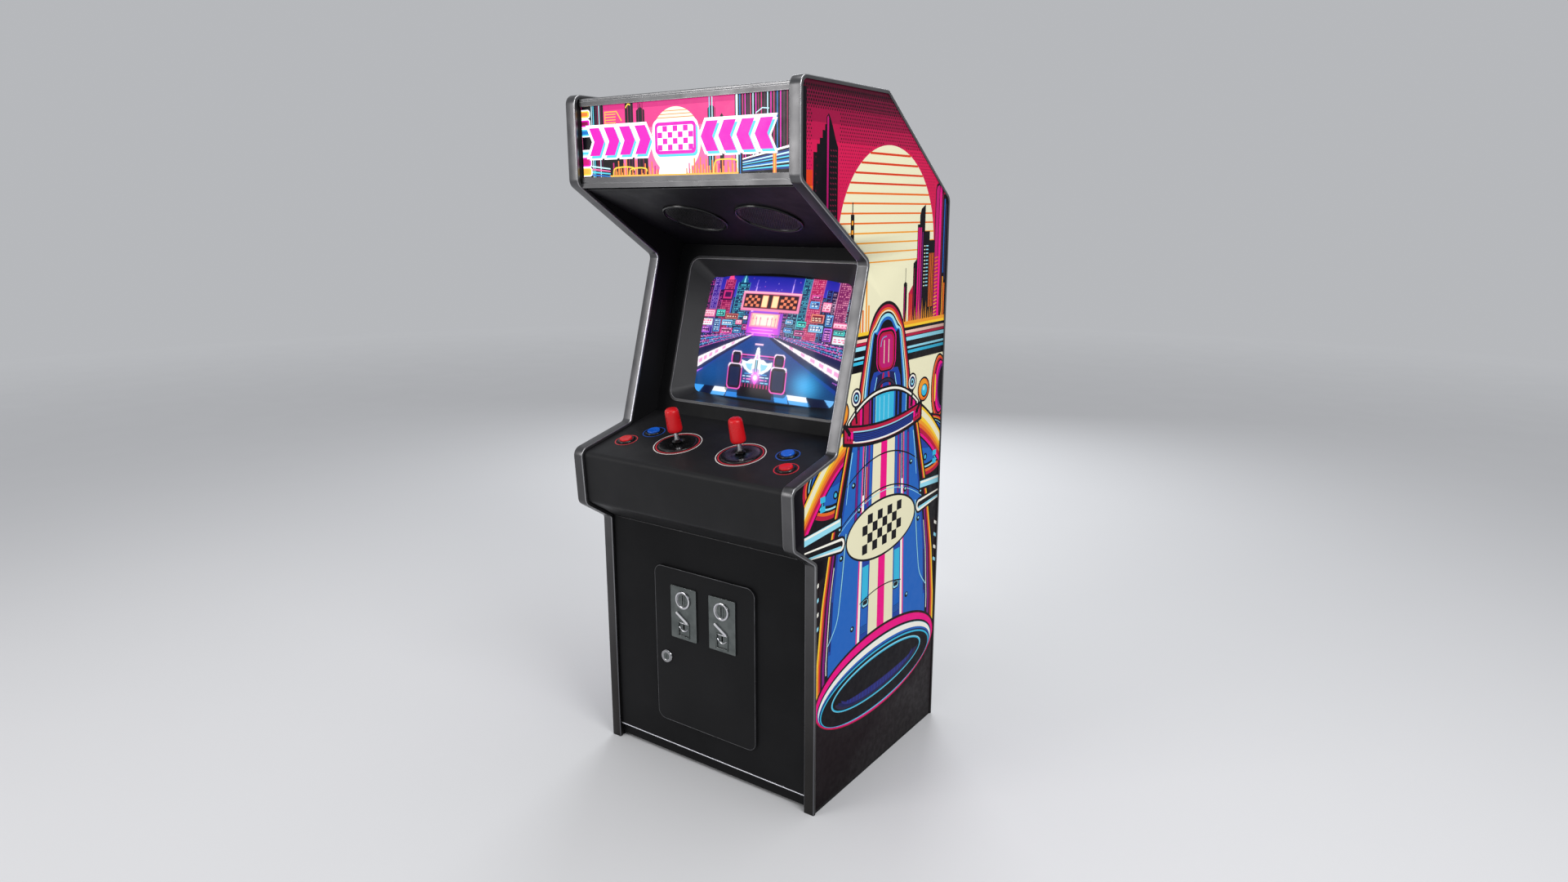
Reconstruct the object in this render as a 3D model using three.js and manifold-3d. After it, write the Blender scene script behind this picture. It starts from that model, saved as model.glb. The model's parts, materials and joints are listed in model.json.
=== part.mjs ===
// Upright two-player racing arcade cabinet, as separate pieces.
// Millimetres, +Z up. The front faces -Y, the floor is Z = 0 and X = 0 is the middle.
import * as THREE from 'three';
import Module from 'manifold-3d';
import { mergeVertices } from 'three/addons/utils/BufferGeometryUtils.js';

// ---- driving dimensions -------------------------------------------------------------
const WIDTH = 716;
const HEIGHT = 1800;
const GAP = 0.3;

// Side profile corners as (Y, Z), clockwise from the marquee's top corner.
const MARQUEE_TOP = [-350, HEIGHT];
const ROOF_REAR = [29, HEIGHT];
const REAR_SHOULDER = [381, 1552];
const REAR_FOOT = [381, 0];
const KICK_FOOT = [-280, 0];
const KICK_TOP = [-280, 680];
const FASCIA_BOTTOM = [-373, 741];
const DECK_FRONT = [-382, 893];
const WAIST = [-191, 938];
const SCREEN_TOP = [-56, 1394];
const MARQUEE_BOTTOM = [-350, 1581];
const PROFILE = [
  MARQUEE_TOP, ROOF_REAR, REAR_SHOULDER, REAR_FOOT, KICK_FOOT, KICK_TOP,
  FASCIA_BOTTOM, DECK_FRONT, WAIST, SCREEN_TOP, MARQUEE_BOTTOM,
];
const PROFILE_RADII = [25, 25, 25, 0, 0, 12, 25, 25, 16, 16, 25];
// The profile's edges by name: each is counted from the corner it starts at.
const EDGE = { slope: 1, rear: 2, kick: 4, underside: 5 };

// Side panels: a board with a metal channel around its edge and a printed sheet outside.
const TRIM_WIDTH = 31;
const TRIM_WALL = 2.7;
const TRIM_LIP = 9;
const ART_THICKNESS = 1;
const BOARD_OUT = WIDTH / 2 - TRIM_WALL - GAP;
const BOARD_IN = WIDTH / 2 - TRIM_WIDTH + TRIM_WALL + GAP;
const INNER_HALF = BOARD_IN - GAP;
const LIP_HALF = WIDTH / 2 - TRIM_WIDTH - GAP;

// Panels between the sides.
const RECESS = 10;
const ROOF_RECESS = 13;
const PANEL = 16;
const KICK_Z = 41;
const TOE_SETBACK = 6;
const TOE_CLEARANCE = 8;
const BOTTOM_Z = 48;

// Marquee light box.
const MARQUEE_Y = MARQUEE_TOP[0] + 15;
const MARQUEE_LOW = 1572.8;
const ART_LOW = 1598.8;
const ART_HIGH = 1769.7;
const GLASS_THICKNESS = 3;
const LAMP_RADIUS = 13;
const LAMP_LENGTH = 560;
const LAMP_Y = -220;
const LAMP_Z = 1722;

// Speaker panel: the sloping underside between the marquee and the screen.
const SPEAKER_FRONT = [-321.5, 1570.5];
const SPEAKER_REAR = [50.7, 1427];
const SPEAKER_PANEL = 12;
const SPEAKER_X = 119;
const SPEAKER_S = 198;
const SPEAKER_RADIUS = 89;
const SPEAKER_HOLE = 74;

// Screen: local frame with Y up along the surround and Z out of it.
const SCREEN_FOOT = [-86.4, 940];
const SCREEN_LEAN = Math.atan(0.2947);
const SURROUND = 12;
const SURROUND_BELOW = 24;
const SURROUND_TOP = 503.5;
const BEZEL_S = 259;
const BEZEL_HALF = [283.5, 202.5];
const BEZEL_RADIUS = 27;
const PICTURE_S = 254;
const PICTURE_HALF = [243, 171];
const PICTURE_RADIUS = 22;
const PICTURE_DEPTH = 38;
const BEZEL_WALL = 2.5;
const TUBE_HALF = [262, 196];
const TUBE_CURVE = 1200;
const TUBE_FRONT = 16;
const TUBE_RIM_DEPTH = 70;
const NECK_RADIUS = 17;
const NECK_END = -310;
const CHASSIS_HALF = [300, 222];
const CHASSIS_BACK = -70;

// Control panel: folded sheet, with a local frame on the deck (Y up the slope, Z out).
const SHEET = 4;
const DECK_FOLD = 15;
const FASCIA_FOLD = 15;
const STICK_X = 105.5;
const STICK_S = 131.3;
const BUTTONS = [
  { name: 'red_left', x: -266, s: 102.1, color: 0xc0202b },
  { name: 'blue_left', x: -224.8, s: 170.1, color: 0x1560d0 },
  { name: 'blue_right', x: 224.8, s: 170.1, color: 0x1560d0 },
  { name: 'red_right', x: 266, s: 102.1, color: 0xc0202b },
];
const BUTTON_HOLE = 20;
const BUTTON_FLANGE = 24;
const BUTTON_BORE = 18;
const BUTTON_TOP = 4.5;
const BUTTON_DEPTH = 34;
const PLUNGER_RISE = 8;
const STICK_HOLE = 20;
const STICK_PIVOT = 26;
const STICK_DISC = 52;
const STICK_DISC_HOLE = 13.6;
const SHAFT_RADIUS = 6.3;
const SKIRT_RADIUS = 14;
const SKIRT_LOW = 8;
const HANDLE_LOW = 36;
const HANDLE_HIGH = 101;

// Coin door.
const DOOR_HALF = 171.5;
const DOOR_LOW = 117;
const DOOR_HIGH = 576;
const DOOR_RADIUS = 25;
const DOOR_FRONT = -278;
const DOOR_SHEET = 3;
const DOOR_RIM = 2.5;
const FRAME_HALF = 160;
const FRAME_WIDTH = 14;
const FRAME_DEPTH = 13;
const COIN_X = 66.5;
const COIN_Z = 454;
const COIN_WIDTH = 88.5;
const COIN_HEIGHT = 150;
const COIN_PLATE = 4;
const ENTRY_Z = 39.5;
const ENTRY_RADIUS = 25;
const SLOT = [3.4, 29];
const RETURN_Z = -46;
const RETURN_HALF = [17, 19];
const LEVER_TURN = THREE.MathUtils.degToRad(-32.8);
const LEVER_LENGTH = 44;
const LEVER_PIVOT = [-20, -1];
const LOCK_X = -133.5;
const LOCK_Z = 312;

// Rear service door and the pieces inside.
const REAR_OPEN_HALF = 230;
const REAR_OPEN_LOW = 300;
const REAR_OPEN_HIGH = 1150;
const REAR_DOOR_LAP = 18;
const REAR_DOOR = 3;
const REAR_LOCK_X = 206;
const REAR_LOCK_Z = 725;
const LOUVRE_PITCH = 30;
const LOUVRE_COUNT = 5;
const LOUVRE_LOW = [390, 940];
const INLET_X = 200;
const INLET_Z = 120;
const CASH_BOX = [250, 190, 70];
const CASH_WALL = 3;
const BOARD_Y = [10, 230];
const BOARD_Z = [290, 540];
const BOARD_STANDOFF = 12;

// ---- building helpers ---------------------------------------------------------------
const wasm = await Module();
wasm.setup();

function toSolid(geometry) {
  const bare = geometry.clone();
  bare.deleteAttribute('normal');
  bare.deleteAttribute('uv');
  const merged = mergeVertices(bare, 1e-4);
  return new wasm.Manifold(new wasm.Mesh({
    numProp: 3,
    vertProperties: new Float32Array(merged.attributes.position.array),
    triVerts: new Uint32Array(merged.index.array),
  }));
}

function fromSolid(solid) {
  const mesh = solid.getMesh();
  const geometry = new THREE.BufferGeometry();
  geometry.setAttribute('position', new THREE.BufferAttribute(mesh.vertProperties, 3));
  geometry.setIndex(new THREE.BufferAttribute(mesh.triVerts, 1));
  const flat = geometry.toNonIndexed();
  flat.computeVertexNormals();
  return flat;
}

function combine(base, added, cut = []) {
  let solid = toSolid(base);
  for (const geometry of added) {
    solid = solid.add(toSolid(geometry));
  }
  for (const geometry of cut) {
    solid = solid.subtract(toSolid(geometry));
  }
  return fromSolid(solid);
}

function steel(color, roughness, metalness = 0) {
  return new THREE.MeshStandardMaterial({ color, roughness, metalness });
}

function place(parent, name, geometry, material) {
  const mesh = new THREE.Mesh(geometry, material);
  mesh.name = name;
  parent.add(mesh);
  return mesh;
}

// Straight-sided outline with rounded corners; a radius of 0 leaves a sharp corner.
function roundedShape(points, radii) {
  const shape = new THREE.Shape();
  const count = points.length;
  points.forEach((point, i) => {
    const corner = new THREE.Vector2(...point);
    const before = new THREE.Vector2(...points[(i + count - 1) % count]).sub(corner).normalize();
    const after = new THREE.Vector2(...points[(i + 1) % count]).sub(corner).normalize();
    const radius = Array.isArray(radii) ? radii[i] : radii;
    const first = i === 0;
    if (radius <= 0) {
      shape[first ? 'moveTo' : 'lineTo'](corner.x, corner.y);
      return;
    }
    const half = Math.acos(THREE.MathUtils.clamp(before.dot(after), -1, 1)) / 2;
    const start = corner.clone().addScaledVector(before, radius / Math.tan(half));
    const end = corner.clone().addScaledVector(after, radius / Math.tan(half));
    const centre = before.clone().add(after).setLength(radius / Math.sin(half)).add(corner);
    const from = start.clone().sub(centre).angle();
    const to = end.clone().sub(centre).angle();
    const clockwise = before.cross(after) > 0;
    shape[first ? 'moveTo' : 'lineTo'](start.x, start.y);
    shape.absarc(centre.x, centre.y, radius, from, to, clockwise);
  });
  shape.closePath();
  return shape;
}

function rectangle(x0, x1, y0, y1, radius = 0) {
  return roundedShape([[x0, y0], [x1, y0], [x1, y1], [x0, y1]], radius);
}

function disc(x, y, radius) {
  const path = new THREE.Path();
  path.absarc(x, y, radius, 0, 2 * Math.PI);
  return path;
}

// Each rounded corner gets twice the number of straight steps given, and so does a whole circle.
function slab(shape, low, high, segments = 1) {
  const geometry = new THREE.ExtrudeGeometry(shape, {
    depth: high - low,
    bevelEnabled: false,
    curveSegments: segments,
  });
  return geometry.translate(0, 0, low);
}

function block(x0, x1, y0, y1, z0, z1) {
  const geometry = new THREE.BoxGeometry(x1 - x0, y1 - y0, z1 - z0);
  return geometry.translate((x0 + x1) / 2, (y0 + y1) / 2, (z0 + z1) / 2);
}

// A profile drawn as (Y, Z), carried across from x0 to x1.
function across(shape, x0, x1, segments = 1) {
  const geometry = slab(shape, x0, x1, segments);
  const basis = new THREE.Matrix4().makeBasis(
    new THREE.Vector3(0, 1, 0),
    new THREE.Vector3(0, 0, 1),
    new THREE.Vector3(1, 0, 0),
  );
  return geometry.applyMatrix4(basis);
}

// A turned piece about Z, from (radius, height) points.
function turned(points, segments = 16) {
  const profile = points.map(([radius, height]) => new THREE.Vector2(radius, height));
  return new THREE.LatheGeometry(profile, segments).rotateX(Math.PI / 2);
}

function rod(radius, low, high, segments = 16) {
  const geometry = new THREE.CylinderGeometry(radius, radius, high - low, segments);
  return geometry.rotateX(Math.PI / 2).translate(0, 0, (low + high) / 2);
}

// Rounded rectangle block whose far end has its own size, as (half width, half height, radius).
function tapered(near, far, low, high) {
  const steps = 3;
  const outline = ([w, h, r]) => {
    const points = [];
    for (let corner = 0; corner < 4; corner += 1) {
      const x = corner === 0 || corner === 3 ? w - r : r - w;
      const y = corner < 2 ? h - r : r - h;
      for (let i = 0; i <= steps; i += 1) {
        const turn = (corner + i / steps) * Math.PI / 2;
        points.push(new THREE.Vector2(x + r * Math.cos(turn), y + r * Math.sin(turn)));
      }
    }
    return points;
  };
  const nearPoints = outline(near);
  const farPoints = outline(far);
  const geometry = slab(new THREE.Shape(nearPoints), low, high);
  const position = geometry.attributes.position;
  for (let i = 0; i < position.count; i += 1) {
    if (position.getZ(i) > (low + high) / 2) {
      const here = new THREE.Vector2(position.getX(i), position.getY(i));
      const index = nearPoints.findIndex((point) => point.distanceTo(here) < 1e-3);
      position.setXY(i, farPoints[index].x, farPoints[index].y);
    }
  }
  return geometry;
}

// The side profile moved inwards, with its foot at the height given.
function insetPoints(inset, foot = 0) {
  const count = PROFILE.length;
  const normal = (i) => {
    const [y0, z0] = PROFILE[i];
    const [y1, z1] = PROFILE[(i + 1) % count];
    return new THREE.Vector2(z1 - z0, y0 - y1).normalize();
  };
  return PROFILE.map(([y, z], i) => {
    if (z === 0) {
      return [y + inset * (i === EDGE.kick ? 1 : -1), foot];
    }
    const a = normal((i + count - 1) % count);
    const b = normal(i);
    const shift = inset / (1 + a.dot(b));
    return [y + (a.x + b.x) * shift, z + (a.y + b.y) * shift];
  });
}

function insetShape(inset, foot = 0) {
  const points = insetPoints(inset, foot);
  const count = PROFILE.length;
  const radii = PROFILE_RADII.map((radius, i) => {
    const [py, pz] = PROFILE[(i + count - 1) % count];
    const [y, z] = PROFILE[i];
    const [ny, nz] = PROFILE[(i + 1) % count];
    const inward = (y - py) * (nz - z) - (z - pz) * (ny - y) > 0;
    if (radius === 0) {
      return 0;
    }
    return inward ? radius + inset : Math.max(radius - inset, 1);
  });
  return roundedShape(points, radii);
}

function frameAt([y, z], turn) {
  const group = new THREE.Group();
  group.position.set(0, y, z);
  group.rotation.x = turn;
  return group;
}

const charcoal = () => steel(0x1b1c1f, 0.55);
const hiddenBoard = () => steel(0x2a2622, 0.8);
const brightSteel = () => steel(0xb9bcc2, 0.25, 1);
const cabinet = new THREE.Group();
cabinet.name = 'racing_arcade_cabinet';

// ---- sides --------------------------------------------------------------------------
for (const [side, sign] of [['left', -1], ['right', 1]]) {
  const span = (a, b) => (sign > 0 ? [a, b] : [-b, -a]);
  const board = across(insetShape(TRIM_WALL + GAP), ...span(BOARD_IN, BOARD_OUT));
  place(cabinet, `side_panel_${side}`, board, charcoal());

  const channel = combine(
    across(insetShape(0), ...span(WIDTH / 2 - TRIM_WIDTH, WIDTH / 2)),
    [],
    [
      across(insetShape(TRIM_LIP, -5), ...span(WIDTH / 2 - TRIM_WIDTH - 5, WIDTH / 2 + 5)),
      across(insetShape(TRIM_WALL, -5), ...span(BOARD_IN - GAP, BOARD_OUT + GAP)),
    ],
  );
  place(cabinet, `edge_trim_${side}`, channel, steel(0x4a4b50, 0.35, 0.9));

  const artOut = BOARD_OUT + GAP + ART_THICKNESS;
  const art = across(insetShape(TRIM_LIP + GAP, TRIM_LIP), ...span(BOARD_OUT + GAP, artOut));
  place(cabinet, `side_art_${side}`, art, steel(0x8c1d58, 0.4));
}

// ---- boards between the sides --------------------------------------------------------
const between = (shape) => across(shape, -INNER_HALF, INNER_HALF);
const betweenLips = (shape) => across(shape, -LIP_HALF, LIP_HALF);
const roofTop = HEIGHT - ROOF_RECESS;
const shoulder = insetPoints(ROOF_RECESS)[EDGE.slope];
const shoulderInner = insetPoints(ROOF_RECESS + PANEL)[EDGE.slope];
const roofFront = MARQUEE_Y + 12;
const roof = roundedShape([
  [roofFront, roofTop], [shoulder[0] - GAP, roofTop],
  [shoulderInner[0] - GAP, roofTop - PANEL], [roofFront, roofTop - PANEL],
], 0);
place(cabinet, 'top_panel', between(roof), charcoal());

// The rear slope ends on a level cut, flush with the rear panel that stands under it.
const rearY = REAR_FOOT[0] - RECESS;
const slopeAt = (inset, y) => {
  const [from, to] = insetPoints(inset).slice(EDGE.slope, EDGE.rear + 1);
  return from[1] + (to[1] - from[1]) * (y - from[0]) / (to[0] - from[0]);
};
const rearTop = slopeAt(ROOF_RECESS + PANEL, rearY - PANEL);
const slopeBoard = roundedShape([
  [shoulder[0] + GAP, slopeAt(ROOF_RECESS, shoulder[0] + GAP)],
  [rearY, slopeAt(ROOF_RECESS, rearY)], [rearY, rearTop], [rearY - PANEL, rearTop],
  [shoulderInner[0] + GAP, slopeAt(ROOF_RECESS + PANEL, shoulderInner[0] + GAP)],
], 0);
place(cabinet, 'rear_slope_panel', between(slopeBoard), charcoal());

const rearShape = rectangle(-INNER_HALF, INNER_HALF, RECESS, rearTop - GAP);
rearShape.holes.push(rectangle(-REAR_OPEN_HALF, REAR_OPEN_HALF, REAR_OPEN_LOW, REAR_OPEN_HIGH, 12));
rearShape.holes.push(rectangle(-INLET_X - 24, -INLET_X + 24, INLET_Z - 14, INLET_Z + 14));
const rearPanel = slab(rearShape, 0, PANEL).rotateX(Math.PI / 2).translate(0, rearY, 0);
place(cabinet, 'rear_panel', rearPanel, charcoal());

const kickY = KICK_FOOT[0] + RECESS;
const kickTop = insetPoints(RECESS)[EDGE.underside][1] - 1;
const kickShape = rectangle(-INNER_HALF, INNER_HALF, KICK_Z + GAP, kickTop);
kickShape.holes.push(rectangle(
  -FRAME_HALF - 1, FRAME_HALF + 1, DOOR_LOW + 10, DOOR_HIGH - 10, 14,
));
const kickPanel = slab(kickShape, 0, PANEL).rotateX(Math.PI / 2).translate(0, kickY + PANEL, 0);
place(cabinet, 'kick_panel', kickPanel, charcoal());

const toeY = kickY + TOE_SETBACK;
const toe = block(-INNER_HALF, INNER_HALF, toeY, toeY + PANEL, TOE_CLEARANCE, KICK_Z);
place(cabinet, 'toe_board', toe, charcoal());
const bottom = block(
  -INNER_HALF, INNER_HALF, kickY + PANEL + GAP, rearY - PANEL - GAP, BOTTOM_Z, BOTTOM_Z + PANEL,
);
place(cabinet, 'bottom_panel', bottom, hiddenBoard());

// ---- marquee ------------------------------------------------------------------------
const topAngle = new THREE.Shape();
topAngle.moveTo(MARQUEE_Y, ART_HIGH);
topAngle.lineTo(MARQUEE_Y, ART_HIGH + 12.5);
topAngle.lineTo(MARQUEE_Y + 1.4, ART_HIGH + 13.2);
topAngle.absarc(MARQUEE_Y + 5.6, ART_HIGH + 15.8, 4.2, Math.PI + 0.6, Math.PI / 2, true);
topAngle.lineTo(MARQUEE_Y + 30, ART_HIGH + 20);
topAngle.lineTo(MARQUEE_Y + 30, roofTop + GAP);
topAngle.lineTo(MARQUEE_Y + 8, roofTop + GAP);
topAngle.lineTo(MARQUEE_Y + 8, ART_HIGH);
place(cabinet, 'marquee_top_retainer', betweenLips(topAngle), steel(0x55565b, 0.35, 0.9));

const grooveZ = (MARQUEE_LOW + ART_LOW) / 2;
const bottomAngle = roundedShape([
  [MARQUEE_Y, MARQUEE_LOW], [MARQUEE_Y, grooveZ - 1.2], [MARQUEE_Y + 1.5, grooveZ - 0.4],
  [MARQUEE_Y + 1.5, grooveZ + 0.4], [MARQUEE_Y, grooveZ + 1.2], [MARQUEE_Y, ART_LOW],
  [MARQUEE_Y + 8, ART_LOW], [MARQUEE_Y + 8, MARQUEE_LOW],
], 0);
place(cabinet, 'marquee_bottom_retainer', betweenLips(bottomAngle), steel(0x55565b, 0.35, 0.9));

const glassY = MARQUEE_Y + 8 + GAP;
const glass = block(
  -LIP_HALF, LIP_HALF, glassY, glassY + GLASS_THICKNESS, MARQUEE_LOW + 3, roofTop - 2,
);
place(cabinet, 'marquee_glass', glass, steel(0xe24b9b, 0.15));

const lamp = rod(LAMP_RADIUS, -LAMP_LENGTH / 2, LAMP_LENGTH / 2, 16).rotateY(Math.PI / 2);
place(cabinet, 'marquee_lamp', lamp.translate(0, LAMP_Y, LAMP_Z), steel(0xf5f5ee, 0.4));
const socket = LAMP_LENGTH / 2 + GAP;
const holder = combine(
  block(-socket - 14, socket + 14, LAMP_Y - 20, LAMP_Y + 20, LAMP_Z + 22, roofTop - PANEL - GAP),
  [
    block(-socket - 14, -socket, LAMP_Y - 14, LAMP_Y + 14, LAMP_Z - 14, LAMP_Z + 23),
    block(socket, socket + 14, LAMP_Y - 14, LAMP_Y + 14, LAMP_Z - 14, LAMP_Z + 23),
  ],
);
place(cabinet, 'marquee_lamp_holder', holder, steel(0xd8d8d2, 0.5));

// ---- speaker panel -------------------------------------------------------------------
const speakerRun = new THREE.Vector2(...SPEAKER_REAR).sub(new THREE.Vector2(...SPEAKER_FRONT));
const speakerSlope = Math.atan2(-speakerRun.y, speakerRun.x);
const speakerFrame = frameAt(SPEAKER_FRONT, Math.PI - speakerSlope);
cabinet.add(speakerFrame);
const speakerLength = speakerRun.length() + 22;
const speakerShape = rectangle(-LIP_HALF, LIP_HALF, -speakerLength, -4.5);
for (const sign of [-1, 1]) {
  speakerShape.holes.push(disc(sign * SPEAKER_X, -SPEAKER_S, SPEAKER_HOLE));
}
place(speakerFrame, 'speaker_panel', slab(speakerShape, -SPEAKER_PANEL, 0, 12), charcoal());

for (const [side, sign] of [['left', -1], ['right', 1]]) {
  const inner = SPEAKER_RADIUS - 8;
  const grille = turned([
    [0, GAP], [SPEAKER_RADIUS, GAP], [SPEAKER_RADIUS, 3.5], [SPEAKER_RADIUS - 2.5, 6],
    [inner + 2, 6], [inner, 3.5], [inner, 1.8], [0, 1.8],
  ], 20);
  place(speakerFrame, `speaker_grille_${side}`, grille, steel(0x17181a, 0.45))
    .position.set(sign * SPEAKER_X, -SPEAKER_S, 0);
  const under = -SPEAKER_PANEL - GAP;
  const driver = turned([
    [0, under - 50], [42, under - 50], [42, under - 32], [70, under - 4], [86, under - 3],
    [86, under], [66, under], [16, under - 19], [0, under - 22],
  ]);
  place(speakerFrame, `speaker_driver_${side}`, driver, steel(0x202022, 0.7))
    .position.set(sign * SPEAKER_X, -SPEAKER_S, 0);
}

// ---- screen -------------------------------------------------------------------------
const screen = frameAt(SCREEN_FOOT, Math.PI / 2 - SCREEN_LEAN);
cabinet.add(screen);
const surroundShape = rectangle(-INNER_HALF, INNER_HALF, -SURROUND_BELOW, SURROUND_TOP);
surroundShape.holes.push(rectangle(
  -BEZEL_HALF[0] - 4, BEZEL_HALF[0] + 4,
  BEZEL_S - BEZEL_HALF[1] - 4, BEZEL_S + BEZEL_HALF[1] + 4, BEZEL_RADIUS,
));
place(screen, 'monitor_surround', slab(surroundShape, -SURROUND, 0), charcoal());

const pictureShift = PICTURE_S - BEZEL_S;
const funnelShift = (geometry) => {
  const position = geometry.attributes.position;
  for (let i = 0; i < position.count; i += 1) {
    const depth = THREE.MathUtils.clamp(-position.getZ(i) / PICTURE_DEPTH, -1, 2);
    position.setY(i, position.getY(i) + pictureShift * depth);
  }
  return geometry;
};
const funnel = (grow, low, high) => {
  const sizeAt = (z) => {
    const t = -z / PICTURE_DEPTH;
    return [
      THREE.MathUtils.lerp(BEZEL_HALF[0], PICTURE_HALF[0], t) + grow,
      THREE.MathUtils.lerp(BEZEL_HALF[1], PICTURE_HALF[1], t) + grow,
      THREE.MathUtils.lerp(BEZEL_RADIUS, PICTURE_RADIUS, t) + grow,
    ];
  };
  return funnelShift(tapered(sizeAt(low), sizeAt(high), low, high));
};
const bezelLip = tapered(
  [BEZEL_HALF[0] + 8, BEZEL_HALF[1] + 8, BEZEL_RADIUS + 8],
  [BEZEL_HALF[0] + 6.5, BEZEL_HALF[1] + 6.5, BEZEL_RADIUS + 6.5],
  GAP, 2.4,
);
// The glass is a block with a domed front; the bezel's inner edge follows the dome.
const domed = (halfWidth, halfHeight, depth) => {
  const geometry = new THREE.BoxGeometry(2 * halfWidth, 2 * halfHeight, depth, 8, 6, 1);
  geometry.translate(0, 0, -depth / 2);
  const position = geometry.attributes.position;
  for (let i = 0; i < position.count; i += 1) {
    if (position.getZ(i) > -1) {
      const reach = Math.hypot(position.getX(i), position.getY(i));
      position.setZ(i, -(reach ** 2) / (2 * TUBE_CURVE));
    }
  }
  return geometry;
};
const glassRoom = domed(...TUBE_HALF, TUBE_RIM_DEPTH + 20).translate(0, pictureShift, 0.8 - TUBE_FRONT);
const bezel = combine(
  funnel(BEZEL_WALL, -PICTURE_DEPTH - 5, 1), [bezelLip],
  [funnel(0, -PICTURE_DEPTH - 7, 4), glassRoom],
);
place(screen, 'monitor_bezel', bezel, steel(0x232427, 0.5)).position.set(0, BEZEL_S, 0);

const tubeOutline = slab(rectangle(
  -TUBE_HALF[0] + 1, TUBE_HALF[0] - 1, -TUBE_HALF[1] + 1, TUBE_HALF[1] - 1, 34,
), -TUBE_RIM_DEPTH - 5, 5);
const tube = combine(
  fromSolid(toSolid(domed(...TUBE_HALF, TUBE_RIM_DEPTH)).intersect(toSolid(tubeOutline))),
  [
    tapered([70, 55, 30], [255, 188, 34], -215, 1 - TUBE_RIM_DEPTH),
    rod(56, -250, -205),
    rod(NECK_RADIUS, NECK_END, -245, 12),
  ],
);
const picture = place(screen, 'picture_tube', tube, steel(0x30313a, 0.1));
picture.position.set(0, PICTURE_S, -TUBE_FRONT);

const [chassisX, chassisY] = CHASSIS_HALF;
const chassisFront = CHASSIS_BACK + 4;
const chassisRing = rectangle(-chassisX, chassisX, -chassisY, chassisY, 8);
chassisRing.holes.push(rectangle(
  -TUBE_HALF[0] - 3, TUBE_HALF[0] + 3, -TUBE_HALF[1] - 3, TUBE_HALF[1] + 3, 36,
));
const legs = [];
for (const x of [-1, 1]) {
  for (const y of [-1, 1]) {
    const at = [x * chassisX - (x > 0 ? 24 : 0), y * chassisY - (y > 0 ? 14 : 0)];
    legs.push(block(at[0], at[0] + 24, at[1], at[1] + 14, CHASSIS_BACK + 1, -SURROUND - GAP));
  }
}
const trayHalf = 150;
const trayTop = -chassisY - 6;
const tray = block(-trayHalf, trayHalf, trayTop - 4, trayTop, -268, chassisFront);
const trayEdge = block(
  -trayHalf, trayHalf, trayTop - 1, -chassisY + 8, CHASSIS_BACK, chassisFront,
);
const chassis = combine(slab(chassisRing, CHASSIS_BACK, chassisFront), [...legs, tray, trayEdge]);
place(screen, 'monitor_chassis', chassis, steel(0x8a8d90, 0.4, 0.9)).position.set(0, PICTURE_S, 0);

// ---- control panel -------------------------------------------------------------------
const outerCorners = insetPoints(RECESS);
const innerCorners = insetPoints(RECESS + SHEET);
const deckTurn = Math.atan2(WAIST[1] - DECK_FRONT[1], WAIST[0] - DECK_FRONT[0]);
const deckAt = ([y, z]) => {
  const lean = Math.tan(SCREEN_LEAN);
  const rise = Math.tan(deckTurn);
  const stop = (SCREEN_FOOT[0] - 1 + lean * (z - rise * y - SCREEN_FOOT[1])) / (1 - lean * rise);
  return [stop, z + rise * (stop - y)];
};
const fold = EDGE.underside;
const sheetShape = roundedShape([
  outerCorners[fold], outerCorners[fold + 1], outerCorners[fold + 2],
  deckAt(outerCorners[fold + 2]), deckAt(innerCorners[fold + 2]),
  innerCorners[fold + 2], innerCorners[fold + 1], innerCorners[fold],
], [0, FASCIA_FOLD, DECK_FOLD, 0, 0, DECK_FOLD - SHEET, FASCIA_FOLD - SHEET, 0]);
const deck = frameAt(outerCorners[fold + 2], deckTurn);
deck.updateMatrixWorld();
const deckHole = (x, s, radius) => {
  const hole = rod(radius, -30, 30, 20).translate(x, s, 0);
  return hole.applyMatrix4(deck.matrixWorld);
};
const controlPanel = combine(
  across(sheetShape, -INNER_HALF, INNER_HALF, 2), [],
  [
    ...BUTTONS.map(({ x, s }) => deckHole(x, s, BUTTON_HOLE)),
    deckHole(-STICK_X, STICK_S, STICK_HOLE),
    deckHole(STICK_X, STICK_S, STICK_HOLE),
  ],
);
place(cabinet, 'control_panel', controlPanel, charcoal());
cabinet.add(deck);

for (const { name, x, s, color } of BUTTONS) {
  const well = BUTTON_HOLE - 0.6;
  const housing = turned([
    [0, -BUTTON_DEPTH], [well, -BUTTON_DEPTH], [well, GAP], [BUTTON_FLANGE, GAP],
    [BUTTON_FLANGE, 2.2], [BUTTON_FLANGE - 2.2, BUTTON_TOP], [BUTTON_BORE, BUTTON_TOP],
    [BUTTON_BORE, -BUTTON_DEPTH + 3], [0, -BUTTON_DEPTH + 3],
  ]);
  place(deck, `button_housing_${name}`, housing, steel(0x101113, 0.35)).position.set(x, s, 0);
  const reach = BUTTON_BORE - 0.5;
  const plunger = turned([
    [0, -20], [reach, -20], [reach, PLUNGER_RISE - 2.2], [reach - 2.2, PLUNGER_RISE],
    [0, PLUNGER_RISE],
  ]);
  place(deck, `button_plunger_${name}`, plunger, steel(color, 0.25)).position.set(x, s, 0);
}

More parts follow.
